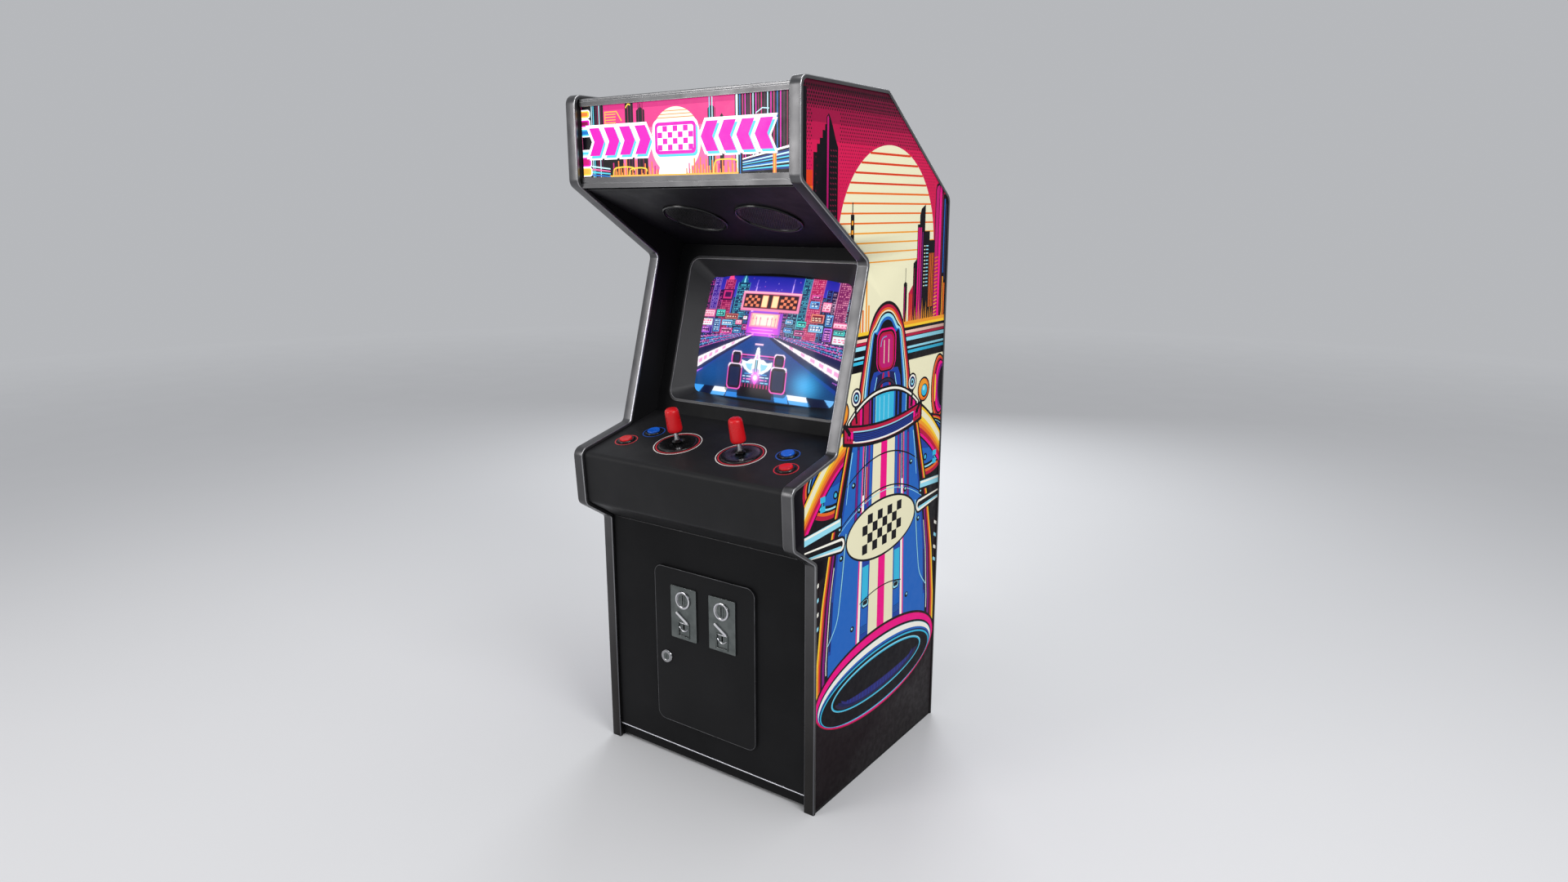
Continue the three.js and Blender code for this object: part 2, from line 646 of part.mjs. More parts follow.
for (const [side, sign] of [['left', -1], ['right', 1]]) {
  const seat = (mesh) => mesh.position.set(sign * STICK_X, STICK_S, 0);
  const under = -SHEET - GAP;
  const plate = rectangle(-46, 46, -46, 46, 6);
  plate.holes.push(disc(0, 0, STICK_HOLE));
  const base = combine(
    slab(plate, under - 3, under, 6),
    [turned([
      [0, under - 43], [34, under - 43], [34, under - 2.5], [28, under - 2.5],
      [28, under - 40], [0, under - 40],
    ])],
  );
  seat(place(deck, `joystick_base_${side}`, base, steel(0x26272a, 0.6)));

  const cover = turned([
    [STICK_DISC_HOLE, GAP], [STICK_DISC, GAP], [STICK_DISC, 1.4], [STICK_DISC - 2, 2.8],
    [STICK_DISC_HOLE, 2.8], [STICK_DISC_HOLE, GAP],
  ], 24);
  seat(place(deck, `joystick_disc_${side}`, cover, steel(0x0a0a0b, 0.12)));

  const gimbal = combine(
    turned([[12, -4], [20, -4], [20, 4], [12, 4], [12, -4]]),
    [
      rod(3, 14, 26, 10).rotateY(Math.PI / 2),
      rod(3, -26, -14, 10).rotateY(Math.PI / 2),
    ],
  ).translate(0, 0, -STICK_PIVOT);
  seat(place(deck, `joystick_gimbal_${side}`, gimbal, steel(0x3a3b3e, 0.4, 0.6)));

  const shaft = turned([
    [0, -STICK_PIVOT - 12], [4, -STICK_PIVOT - 12], [4, -STICK_PIVOT - 8],
    [8.5, -STICK_PIVOT - 3], [8.5, -STICK_PIVOT + 3], [5.5, -STICK_PIVOT + 8],
    [5.5, SKIRT_LOW + 1], [SKIRT_RADIUS, SKIRT_LOW], [SKIRT_RADIUS, SKIRT_LOW + 1.2],
    [7, 12.5], [7, 15], [SHAFT_RADIUS, 17.5],
    [SHAFT_RADIUS, HANDLE_LOW + 40], [0, HANDLE_LOW + 40],
  ]);
  seat(place(deck, `joystick_shaft_${side}`, shaft, brightSteel()));

  const bore = SHAFT_RADIUS + GAP;
  const grip = turned([
    [0, HANDLE_LOW + 40.5], [bore, HANDLE_LOW + 40.5], [bore, HANDLE_LOW], [14, HANDLE_LOW],
    [18.5, HANDLE_LOW + 2], [20, HANDLE_LOW + 7], [19.6, HANDLE_LOW + 14], [18.2, HANDLE_HIGH - 9],
    [16.6, HANDLE_HIGH - 3.6], [12.5, HANDLE_HIGH - 0.8], [0, HANDLE_HIGH],
  ]);
  seat(place(deck, `joystick_handle_${side}`, grip, steel(0xc8181f, 0.3)));
}

// ---- coin door: local frame with Y up and Z out of the front ---------------------------
const front = frameAt([0, 0], Math.PI / 2);
cabinet.add(front);
const doorFace = -DOOR_FRONT;
const doorBack = doorFace - DOOR_SHEET;
const frameFront = doorBack - GAP;
const frameOutline = rectangle(
  -FRAME_HALF, FRAME_HALF, DOOR_LOW + 11, DOOR_HIGH - 11, 13,
);
frameOutline.holes.push(rectangle(
  -FRAME_HALF + FRAME_WIDTH, FRAME_HALF - FRAME_WIDTH,
  DOOR_LOW + 11 + FRAME_WIDTH, DOOR_HIGH - 11 - FRAME_WIDTH, 4,
));
const doorFrame = slab(frameOutline, frameFront - FRAME_DEPTH, frameFront);
place(front, 'coin_door_frame', doorFrame, steel(0x1f2022, 0.5, 0.6));

const doorOutline = (inset) => rectangle(
  -DOOR_HALF + inset, DOOR_HALF - inset, DOOR_LOW + inset, DOOR_HIGH - inset,
  DOOR_RADIUS - inset,
);
const doorPlate = doorOutline(0);
const coinWindow = [36, 54];
for (const sign of [-1, 1]) {
  doorPlate.holes.push(rectangle(
    sign * COIN_X - coinWindow[0], sign * COIN_X + coinWindow[0],
    COIN_Z - coinWindow[1] - 14, COIN_Z + coinWindow[1] + 14, 3,
  ));
}
doorPlate.holes.push(disc(LOCK_X, LOCK_Z, 10));
const doorRim = doorOutline(0);
doorRim.holes.push(doorOutline(DOOR_RIM));
const door = combine(
  slab(doorPlate, doorBack, doorFace, 4),
  [slab(doorRim, -kickY + 0.5, doorBack + 1, 4)],
);
place(front, 'coin_door', door, steel(0x1a1b1d, 0.45, 0.3));

for (const [side, sign] of [['left', -1], ['right', 1]]) {
  const half = [COIN_WIDTH / 2, COIN_HEIGHT / 2];
  const back = doorFace + GAP;
  const faceAt = back + COIN_PLATE;
  const plateShape = rectangle(-half[0], half[0], -half[1], half[1], 2);
  plateShape.holes.push(rectangle(
    -RETURN_HALF[0], RETURN_HALF[0], RETURN_Z - RETURN_HALF[1], RETURN_Z + RETURN_HALF[1],
  ));
  plateShape.holes.push(disc(...LEVER_PIVOT, 3.6));
  const bezelRing = turned([
    [0, faceAt - 1], [ENTRY_RADIUS, faceAt - 1], [ENTRY_RADIUS, faceAt + 3],
    [ENTRY_RADIUS - 2, faceAt + 4.5], [ENTRY_RADIUS - 5, faceAt + 4.5],
    [ENTRY_RADIUS - 8, faceAt + 1.5], [0, faceAt + 1.5],
  ], 20).translate(0, ENTRY_Z, 0);
  const deepBack = doorFace - 52;
  const race = combine(
    block(-30, 30, -18, 66, deepBack, back + 1),
    [],
    [block(-4, 4, -30, 62, deepBack + 6, back - 4)],
  );
  const plate = combine(
    slab(plateShape, back, faceAt, 3),
    [bezelRing, race],
    [
      block(-SLOT[0] / 2, SLOT[0] / 2, ENTRY_Z - SLOT[1] / 2, ENTRY_Z + SLOT[1] / 2,
        back - 8, faceAt + 9),
      rod(3.6, back - 5, faceAt + 1, 16).translate(...LEVER_PIVOT, 0),
    ],
  );
  const at = (mesh) => mesh.position.set(sign * COIN_X, COIN_Z, 0);
  at(place(front, `coin_plate_${side}`, plate, steel(0x8d8f93, 0.35, 0.9)));

  const bar = rectangle(-4.5, LEVER_LENGTH, -3.6, 3.6, 3);
  const lever = combine(
    slab(bar, faceAt + GAP, faceAt + 4.5, 2),
    [rod(3.2, back - 4.5, faceAt + 1, 16)],
  ).rotateZ(LEVER_TURN).translate(...LEVER_PIVOT, 0);
  at(place(front, `coin_reject_lever_${side}`, lever, brightSteel()));

  const flapHalf = RETURN_HALF[0] - 0.8;
  const flapTop = RETURN_Z + RETURN_HALF[1] - 1;
  const flap = combine(
    block(-flapHalf, flapHalf, RETURN_Z - RETURN_HALF[1] + 1, flapTop - 1, back + 0.8, back + 2.3),
    [rod(1.4, -flapHalf, flapHalf, 12).rotateY(Math.PI / 2).translate(0, flapTop - 1.4, back + 1.55)],
  );
  at(place(front, `coin_return_flap_${side}`, flap, steel(0x5c5d61, 0.3, 0.9)));
}

const lockOut = doorFace + GAP;
const lock = combine(
  turned([
    [0, frameFront - FRAME_DEPTH - 6], [8.5, frameFront - FRAME_DEPTH - 6], [8.5, lockOut],
    [19, lockOut], [19, lockOut + 2], [16.5, lockOut + 5], [11, lockOut + 5],
    [10, lockOut + 3.5], [0, lockOut + 3.5],
  ], 20),
  [block(-7, 7, -26, 7, frameFront - FRAME_DEPTH - 4, frameFront - FRAME_DEPTH - 1)],
  [block(-0.9, 0.9, -5.5, 5.5, lockOut - 6, lockOut + 9)],
);
place(front, 'coin_door_lock', lock, brightSteel()).position.set(LOCK_X, LOCK_Z, 0);

// ---- rear service door: local frame with Y up and Z out of the back --------------------
const rear = frameAt([0, 0], Math.PI / 2);
rear.rotateY(Math.PI);
cabinet.add(rear);
const rearFace = rearY + GAP;
const rearDoorHalf = REAR_OPEN_HALF + REAR_DOOR_LAP;
const rearDoorShape = rectangle(
  -rearDoorHalf, rearDoorHalf, REAR_OPEN_LOW - REAR_DOOR_LAP, REAR_OPEN_HIGH + REAR_DOOR_LAP, 8,
);
rearDoorShape.holes.push(disc(REAR_LOCK_X, REAR_LOCK_Z, 10));
const louvres = [];
for (const low of LOUVRE_LOW) {
  for (let row = 0; row < LOUVRE_COUNT; row += 1) {
    const z = low + row * LOUVRE_PITCH;
    for (const x of [-95, 95]) {
      louvres.push(block(x - 70, x + 70, z - 5, z + 5, rearFace - 1, rearFace + REAR_DOOR + 1));
    }
  }
}
const rearDoor = combine(slab(rearDoorShape, rearFace, rearFace + REAR_DOOR, 4), [], louvres);
place(rear, 'rear_door', rearDoor, steel(0x222326, 0.55, 0.3));

const rearLock = combine(
  turned([
    [0, rearFace - 30], [8.5, rearFace - 30], [8.5, rearFace + REAR_DOOR + GAP],
    [13, rearFace + REAR_DOOR + GAP], [13, rearFace + REAR_DOOR + 2], [11, rearFace + REAR_DOOR + 4],
    [0, rearFace + REAR_DOOR + 4],
  ]),
  [block(-7, 7, -40, 7, rearFace - 27, rearFace - 24)],
  [block(-0.9, 0.9, -5, 5, rearFace - 2, rearFace + 12)],
);
place(rear, 'rear_door_lock', rearLock, brightSteel())
  .position.set(REAR_LOCK_X, REAR_LOCK_Z, 0);

const inlet = combine(
  block(-23.5, 23.5, -13.5, 13.5, rearY - 22, rearFace + 1),
  [block(-32, 32, -18, 18, rearFace, rearFace + 3)],
  [block(-13, 13, -9, 9, rearY - 16, rearFace + 9)],
);
const pins = [[-7, 2], [0, -3], [7, 2]].map(([x, y]) => (
  block(x - 1, x + 1, y - 2.5, y + 2.5, rearY - 17, rearFace - 4)
));
place(rear, 'power_inlet', combine(inlet, pins), steel(0x141414, 0.5))
  .position.set(INLET_X, INLET_Z, 0);

// ---- pieces inside --------------------------------------------------------------------
const floor = BOTTOM_Z + PANEL + GAP;
const [cashX, cashY, cashZ] = CASH_BOX;
const cash = combine(
  block(-cashX / 2, cashX / 2, 0, cashY, floor, floor + cashZ), [],
  [block(
    -cashX / 2 + CASH_WALL, cashX / 2 - CASH_WALL, CASH_WALL, cashY - CASH_WALL,
    floor + CASH_WALL, floor + cashZ + 5,
  )],
);
place(cabinet, 'cash_box', cash.translate(0, kickY + PANEL + 6, 0), steel(0x9a9c9e, 0.45, 0.8));

place(
  cabinet, 'power_supply', block(150, 290, 120, 250, floor, floor + 60), steel(0xa9abad, 0.4, 0.8),
);

// The game board stands off the left side panel on four posts; each chip is (y, z, width, height).
const boardX = BOARD_STANDOFF - INNER_HALF;
const chips = [
  [30, 330, 60, 60], [130, 320, 70, 16], [130, 350, 70, 16],
  [130, 380, 70, 16], [40, 430, 40, 50], [140, 440, 60, 60],
].map(([y, z, width, height]) => block(boardX + 1, boardX + 7, y, y + width, z, z + height));
const posts = [];
for (const y of [BOARD_Y[0] + 6, BOARD_Y[1] - 16]) {
  for (const z of [BOARD_Z[0] + 6, BOARD_Z[1] - 16]) {
    posts.push(block(GAP - INNER_HALF, boardX + 1, y, y + 8, z, z + 8));
  }
}
const gameBoard = combine(block(boardX, boardX + 2, ...BOARD_Y, ...BOARD_Z), [...chips, ...posts]);
place(cabinet, 'game_board', gameBoard, steel(0x1d6b3a, 0.5));

export default cabinet;
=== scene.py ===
# Looks of the upright racing cabinet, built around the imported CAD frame.
# Every shape is worked out in millimetres, in the CAD frame, and scaled to metres as it is made.
# Only the studio at the end (floor, lights, camera) is placed in metres.
import json
import math

import bmesh
import bpy
import numpy as np
from mathutils import Matrix, Vector
from mathutils.geometry import delaunay_2d_cdt


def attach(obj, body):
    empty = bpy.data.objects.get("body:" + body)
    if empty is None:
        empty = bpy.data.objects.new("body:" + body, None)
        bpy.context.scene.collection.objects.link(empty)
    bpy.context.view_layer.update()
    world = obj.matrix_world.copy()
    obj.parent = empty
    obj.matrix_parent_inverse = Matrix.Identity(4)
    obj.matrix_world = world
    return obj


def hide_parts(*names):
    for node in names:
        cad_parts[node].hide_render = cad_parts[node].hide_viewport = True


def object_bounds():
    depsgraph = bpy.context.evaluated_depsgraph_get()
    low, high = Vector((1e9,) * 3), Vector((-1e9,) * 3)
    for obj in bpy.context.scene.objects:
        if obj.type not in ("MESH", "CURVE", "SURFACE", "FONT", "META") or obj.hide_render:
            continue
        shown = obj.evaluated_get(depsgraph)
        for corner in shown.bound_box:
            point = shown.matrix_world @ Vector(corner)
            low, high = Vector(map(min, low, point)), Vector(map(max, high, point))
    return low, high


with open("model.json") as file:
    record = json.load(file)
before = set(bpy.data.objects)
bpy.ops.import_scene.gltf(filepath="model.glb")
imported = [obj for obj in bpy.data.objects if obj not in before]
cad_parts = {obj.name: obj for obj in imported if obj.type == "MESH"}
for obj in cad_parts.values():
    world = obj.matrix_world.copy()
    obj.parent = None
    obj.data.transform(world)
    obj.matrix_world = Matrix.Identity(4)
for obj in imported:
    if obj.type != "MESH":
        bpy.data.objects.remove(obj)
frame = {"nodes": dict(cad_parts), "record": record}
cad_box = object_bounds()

MM = 0.001
record = frame["record"]
BODY = {node: body for body, nodes in record["behaviour"]["bodies"].items() for node in nodes}
SIDES = (("left", -1), ("right", 1))

# ---- driving dimensions, the same as the CAD model's ------------------------------------
# side profile (y, z), the radius at each of its corners, and the numbers of three of the corners
PROFILE = [
    (-350, 1800), (29, 1800), (381, 1552), (381, 0), (-280, 0), (-280, 680),
    (-373, 741), (-382, 893), (-191, 938), (-56, 1394), (-350, 1581),
]
PROFILE_RADII = [25, 25, 25, 0, 0, 12, 25, 25, 16, 16, 25]
KICK_FOOT, FASCIA, DECK_FRONT = 4, 6, 7
HALF_WIDTH = cad_box[1].x / MM
TRIM_INNER = HALF_WIDTH - 31
TRIM_WALL, TRIM_LIP = 2.7, 9
INNER_HALF, LIP_HALF = 329.7, 326.7
RECESS, SHEET = 10, 4
SCREEN_LEAN = math.atan(0.2947)
SCREEN_FOOT = (-86.4, 940)
SPEAKER_FRONT = (-321.5, 1570.5)
SPEAKER_REAR = (50.7, 1427)
BEZEL_S, BEZEL_HALF, BEZEL_RADIUS = 259, (283.5, 202.5), 27
PICTURE_S, PICTURE_HALF, PICTURE_RADIUS = 254, (243, 171), 22
PICTURE_DEPTH, TUBE_FRONT, TUBE_CURVE, TUBE_HALF = 38, 16, 1200, (262, 196)
STICK_X, STICK_S = 105.5, 131.3
BUTTONS = {
    "red_left": (-266, 102.1), "blue_left": (-224.8, 170.1),
    "blue_right": (224.8, 170.1), "red_right": (266, 102.1),
}
COIN_X, COIN_Z, COIN_FACE = 66.5, 454, 282.3
LOCK_X, LOCK_Z, DOOR_FACE = -133.5, 312, 278
DOOR_HALF, DOOR_LOW, DOOR_HIGH, DOOR_RADIUS = 171.5, 117, 576, 25


# ---- outlines ---------------------------------------------------------------------------
def inset_corners(inset, foot=0.0):
    """The side profile's corners moved inwards, with its foot at the height given."""
    def inward(i):
        (y0, z0), (y1, z1) = PROFILE[i % len(PROFILE)], PROFILE[(i + 1) % len(PROFILE)]
        return Vector((z1 - z0, y0 - y1)).normalized()

    corners = []
    for i, (y, z) in enumerate(PROFILE):
        if z == 0:
            corners.append(Vector((y + (inset if i == KICK_FOOT else -inset), foot)))
            continue
        a, b = inward(i - 1), inward(i)
        corners.append(Vector((y, z)) + (a + b) * (inset / (1 + a.dot(b))))
    return corners


def rounded(corners, radii, step=8.0):
    """A closed outline with round corners, as points at most step degrees apart on each arc."""
    corners = [Vector(c) for c in corners]
    points = []
    for i, corner in enumerate(corners):
        radius = radii[i] if isinstance(radii, (list, tuple)) else radii
        if radius <= 0:
            points.append(corner)
            continue
        before = (corners[i - 1] - corner).normalized()
        after = (corners[(i + 1) % len(corners)] - corner).normalized()
        half = math.acos(max(-1.0, min(1.0, before.dot(after)))) / 2
        start = corner + before * (radius / math.tan(half))
        centre = corner + (before + after).normalized() * (radius / math.sin(half))
        turn = math.pi - 2 * half
        way = -1 if before.cross(after) > 0 else 1
        spoke = start - centre
        first = math.atan2(spoke.y, spoke.x)
        count = max(1, math.ceil(math.degrees(turn) / step))
        for k in range(count + 1):
            angle = first + way * turn * k / count
            points.append(centre + Vector((math.cos(angle), math.sin(angle))) * radius)
    return points


def box(x0, y0, x1, y1):
    return [(x0, y0), (x1, y0), (x1, y1), (x0, y1)]


def moved(outline, dx, dy):
    return [(x + dx, y + dy) for x, y in outline]


def oval(x, y, rx, ry=None, steps=72):
    ry = rx if ry is None else ry
    turns = (2 * math.pi * k / steps for k in range(steps))
    return [(x + rx * math.cos(t), y + ry * math.sin(t)) for t in turns]


def smooth(points, steps=8):
    """Points on a Catmull-Rom curve through the ones given."""
    points = [Vector(p) for p in points]
    last = len(points) - 1
    curve = []
    for i in range(last):
        p0, p1, p2, p3 = (points[max(0, min(last, k))] for k in range(i - 1, i + 3))
        for k in range(steps):
            t = k / steps
            curve.append(0.5 * (
                2 * p1 + (p2 - p0) * t + (2 * p0 - 5 * p1 + 4 * p2 - p3) * t * t
                + (3 * p1 - p0 - 3 * p2 + p3) * t ** 3))
    return curve + [points[-1]]


def ribbon(path, width, tip=None):
    """The outline of a line drawn along a path, of one width or narrowing to tip."""
    path = [Vector(p) for p in path]
    tip = width if tip is None else tip
    left, right = [], []
    for i, point in enumerate(path):
        along = path[min(i + 1, len(path) - 1)] - path[max(i - 1, 0)]
        side = Vector((-along.y, along.x)).normalized()
        half = (width + (tip - width) * i / (len(path) - 1)) / 2
        left.append(point + side * half)
        right.append(point - side * half)
    return left + right[::-1]


def mirrored(outline, axis):
    return [(2 * axis - x, y) for x, y in outline][::-1]


def area(outline):
    """Positive where the outline runs anticlockwise."""
    pairs = zip(outline, list(outline[1:]) + [outline[0]])
    return sum(x0 * y1 - x1 * y0 for (x0, y0), (x1, y1) in pairs) / 2


def partition(shapes):
    """Cuts overlapping shapes into faces. A face gets the name of the last shape over it, and only
    faces inside the first shape stay."""
    points, loops = [], []
    for _, outline in shapes:
        outline = [Vector(p) for p in outline]
        if area(outline) < 0:
            outline.reverse()
        loops.append(list(range(len(points), len(points) + len(outline))))
        points += outline
    out, _, faces, _, _, owners = delaunay_2d_cdt(points, [], loops, 4, 1e-4, True)
    kept = [(face, shapes[max(o)][0]) for face, o in zip(faces, owners) if 0 in o]
    return [tuple(p) for p in out], [f for f, _ in kept], [name for _, name in kept]


# ---- frames of the tilted parts -----------------------------------------------------------
def frame_at(point, turn):
    """A frame whose origin is at (y, z), turned about the cabinet's width."""
    return Matrix.Translation((0, *point)) @ Matrix.Rotation(turn, 4, "X")


outer = inset_corners(RECESS)
deck_rise = Vector(PROFILE[DECK_FRONT + 1]) - Vector(PROFILE[DECK_FRONT])
DECK = frame_at(outer[DECK_FRONT], math.atan2(deck_rise.y, deck_rise.x))
SCREEN = frame_at(SCREEN_FOOT, math.pi / 2 - SCREEN_LEAN)
speaker_run = Vector(SPEAKER_REAR) - Vector(SPEAKER_FRONT)
SPEAKER = frame_at(SPEAKER_FRONT, math.pi - math.atan2(-speaker_run.y, speaker_run.x))
FRONT = frame_at((0, 0), math.pi / 2)
REAR = FRONT @ Matrix.Rotation(math.pi, 4, "Y")
ACROSS = Matrix(((0, 0, 1, 0), (1, 0, 0, 0), (0, 1, 0, 0), (0, 0, 0, 1)))


def seat(base, x, y, z=0.0):
    """A place in a part's frame."""
    return base @ Matrix.Translation((x, y, z))


# ---- materials ----------------------------------------------------------------------------
def ink_colour(code):
    """Linear colour of a six-digit hexadecimal code."""
    parts = [int(code[i:i + 2], 16) / 255 for i in (0, 2, 4)]
    return tuple(c / 12.92 if c <= 0.04045 else ((c + 0.055) / 1.055) ** 2.4 for c in parts)


class Look:
    """One node material: a Principled shader and the nodes that vary it over the object's place."""

    def __init__(self, name, colour, rough, metal=0.0, coat=0.0, shine=0.5):
        self.material = bpy.data.materials.new(name)
        self.material.use_nodes = True
        self.tree = self.material.node_tree
        self.shader = self.tree.nodes["Principled BSDF"]
        self.base = tuple(colour)
        self.rough = rough
        self.put("Base Color", (*colour, 1))
        self.put("Roughness", rough)
        self.put("Metallic", metal)
        self.put("Coat Weight", coat)
        self.put("Specular IOR Level", shine)
        self.put("Coat Roughness", 0.08)
        self.place = self.tree.nodes.new("ShaderNodeTexCoord").outputs["Object"]

    def put(self, socket, value):
        self.shader.inputs[socket].default_value = value

    def link(self, out, into):
        self.tree.links.new(out, into)

    def stretched(self, scale):
        node = self.tree.nodes.new("ShaderNodeMapping")
        node.inputs["Scale"].default_value = scale
        self.link(self.place, node.inputs["Vector"])
        return node.outputs["Vector"]

    def noise(self, scale, detail=4.0, stretch=None, distortion=0.0):
        node = self.tree.nodes.new("ShaderNodeTexNoise")
        node.inputs["Scale"].default_value = scale
        node.inputs["Detail"].default_value = detail
        node.inputs["Distortion"].default_value = distortion
        self.link(self.stretched(stretch) if stretch else self.place, node.inputs["Vector"])
        return node.outputs["Fac"]

    def ramp(self, value, low, high, out_low=0.0, out_high=1.0):
        node = self.tree.nodes.new("ShaderNodeMapRange")
        node.inputs["From Min"].default_value = low
        node.inputs["From Max"].default_value = high
        node.inputs["To Min"].default_value = out_low
        node.inputs["To Max"].default_value = out_high
        self.link(value, node.inputs["Value"])
        return node.outputs["Result"]

    def mix(self, share, a, b):
        node = self.tree.nodes.new("ShaderNodeMix")
        node.data_type = "RGBA"
        self.link(share, node.inputs["Factor"])
        for socket, value in ((node.inputs["A"], a), (node.inputs["B"], b)):
            if isinstance(value, tuple):
                socket.default_value = (*value, 1)
            else:
                self.link(value, socket)
        return node.outputs["Result"]

    def recolour(self, share, a, b):
        self.base = self.mix(share, a, b)
        self.link(self.base, self.shader.inputs["Base Color"])
        return self

    def fade(self, other, low, high):
        """Base colour that turns into another between two heights, from high down to low, in metres."""
        parts = self.tree.nodes.new("ShaderNodeSeparateXYZ")
        self.link(self.place, parts.inputs[0])
        return self.recolour(self.ramp(parts.outputs["Z"], low, high), other, self.base)

    def vary(self, scale, amount, stretch=None):
        """Roughness that drifts by amount each way."""
        spread = self.rough - amount, self.rough + amount
        value = self.ramp(self.noise(scale, 5, stretch), 0.3, 0.7, *spread)
        self.link(value, self.shader.inputs["Roughness"])
        return self

    def tint(self, scale, other, low=0.4, high=0.65, stretch=None):
        """Base colour that drifts towards another where a noise is high."""
        return self.recolour(self.ramp(self.noise(scale, 6, stretch), low, high), self.base, other)

    def chips(self, scale, other, low=0.62, high=0.66, rough=0.3, metal=None):
        """Small worn spots with a colour, roughness and metal of their own."""
        share = self.ramp(self.noise(scale, 3, None, 0.6), low, high)
        self.recolour(share, self.base, other)
        self.link(self.ramp(share, 0, 1, self.rough, rough), self.shader.inputs["Roughness"])
        if metal is not None:
            was = self.shader.inputs["Metallic"].default_value
            self.link(self.ramp(share, 0, 1, was, metal), self.shader.inputs["Metallic"])
        return self

    def grain(self, scale, height, strength=0.5, stretch=None, detail=3.0):
        """A fine relief of the height given, in millimetres."""
        node = self.tree.nodes.new("ShaderNodeBump")
        node.inputs["Strength"].default_value = strength
        node.inputs["Distance"].default_value = height * MM
        self.link(self.noise(scale, detail, stretch), node.inputs["Height"])
        self.link(node.outputs["Normal"], self.shader.inputs["Normal"])
        return self

    def glow(self, colour, strength):
        self.put("Emission Color", (*colour, 1))
        self.put("Emission Strength", strength)
        return self


def grey(value, blue=1.08):
    return (value, value, value * blue)


charcoal = Look("charcoal paint", grey(0.0078), 0.48, shine=0.08)
charcoal.tint(5.0, grey(0.0102)).vary(26, 0.04).grain(900, 0.05, 0.35)
panel_coat = Look("panel powder coat", grey(0.0112), 0.48, shine=0.17)
panel_coat.tint(6.0, grey(0.016), 0.38, 0.7).vary(20, 0.05).grain(1500, 0.07, 0.55)
door_coat = Look("door powder coat", grey(0.0085), 0.44, shine=0.1)
door_coat.tint(6.0, grey(0.011)).vary(24, 0.04).grain(1300, 0.06, 0.5)
# Painted highlight: a paler grey for the light caught along the coin door's edges.
painted_edge_highlight = Look("painted edge highlight", grey(0.11), 0.3, shine=0.6)
painted_edge_highlight.tint(24, grey(0.05), 0.42, 0.62).vary(60, 0.06)
worn_edge = Look("worn black edge", grey(0.022), 0.38)
worn_edge.tint(30, grey(0.036)).chips(70, grey(0.12), 0.62, 0.68, 0.34)
bare_board = Look("bare board", (0.19, 0.13, 0.08), 0.75)
bare_board.tint(60, (0.11, 0.07, 0.045), 0.4, 0.7, (1, 1, 8)).grain(400, 0.2, 0.5)
gunmetal = Look("gunmetal", grey(0.13, 1.04), 0.34, metal=0.85)
gunmetal.tint(7, grey(0.075, 1.04), 0.4, 0.75).vary(16, 0.08).grain(260, 0.03, 0.3)
gunmetal.fade((0.030, 0.028, 0.027), 0.15, 1.0)
polished_edge = Look("polished edge", grey(0.40, 1.02), 0.3, metal=1.0)
polished_edge.tint(6, grey(0.30, 1.02), 0.45, 0.7).vary(12, 0.06).fade(grey(0.14), 0.15, 1.0)
steel = Look("bright steel", grey(0.72, 1.02), 0.18, metal=1.0)
steel.tint(40, grey(0.6)).vary(70, 0.05).grain(700, 0.02, 0.3)
cast = Look("cast metal", (0.145, 0.16, 0.156), 0.36, metal=0.9)
cast.tint(35, (0.105, 0.118, 0.115), 0.4, 0.65).vary(60, 0.08).grain(1200, 0.06, 0.5)
dark_chrome = Look("dark chrome", grey(0.36, 1.02), 0.13, metal=1.0)
dark_chrome.tint(30, grey(0.28), 0.4, 0.7).vary(50, 0.04)
# Painted highlight: a pale bright metal for a glint of light along an edge, on the trim's inner rim
# beside the screen and on the kick panel's foot.
painted_trim_glint = Look("painted trim glint", grey(0.9), 0.24, metal=0.6)
painted_trim_glint.tint(8, grey(0.72), 0.45, 0.7).vary(20, 0.05)
# Painted shade: a darker, purple-tinted copy of the charcoal paint, for the speaker panel in the shade
# under the marquee.
shaded_panel = Look("shaded panel", (0.0052, 0.0048, 0.0066), 0.5, shine=0.18)
shaded_panel.tint(6, (0.0072, 0.0062, 0.0095)).vary(22, 0.05).grain(1000, 0.05, 0.4)
zinc = Look("zinc plate", grey(0.5), 0.38, metal=0.9)
zinc.tint(14, grey(0.36)).vary(30, 0.1).grain(300, 0.05, 0.3)
bezel_plastic = Look("bezel plastic", grey(0.024), 0.36)
bezel_plastic.tint(6, grey(0.032)).vary(20, 0.06).grain(1600, 0.05, 0.45)
black_gloss = Look("black gloss", grey(0.004), 0.24, coat=0.1)
black_gloss.tint(12, grey(0.006)).vary(18, 0.04)
black_matt = Look("black matt", grey(0.012), 0.6)
black_matt.tint(30, grey(0.030)).vary(25, 0.08).grain(800, 0.06, 0.4)
red_plastic = Look("red plastic", ink_colour("d4141c"), 0.32, shine=0.4)
red_plastic.tint(20, ink_colour("c20f18")).vary(45, 0.06).grain(300, 0.02, 0.15)
blue_plastic = Look("blue plastic", ink_colour("1766d8"), 0.32, shine=0.4)
blue_plastic.tint(20, ink_colour("1257c2")).vary(45, 0.06).grain(300, 0.02, 0.15)
white_plastic = Look("white plastic", (0.75, 0.75, 0.72), 0.5)
white_plastic.tint(12, (0.66, 0.66, 0.62)).vary(20, 0.08)
grille_mesh = Look("grille mesh", grey(0.008), 0.42)
grille_mesh.tint(25, grey(0.013)).vary(30, 0.1).grain(900, 0.25, 0.8, None, 0.0)
lamp_glass = Look("lamp glass", (0.9, 0.9, 0.86), 0.4)
lamp_glass.tint(30, (0.8, 0.8, 0.78)).glow((1.0, 0.97, 0.9), 1.5)
circuit = Look("circuit board", (0.02, 0.16, 0.06), 0.45)
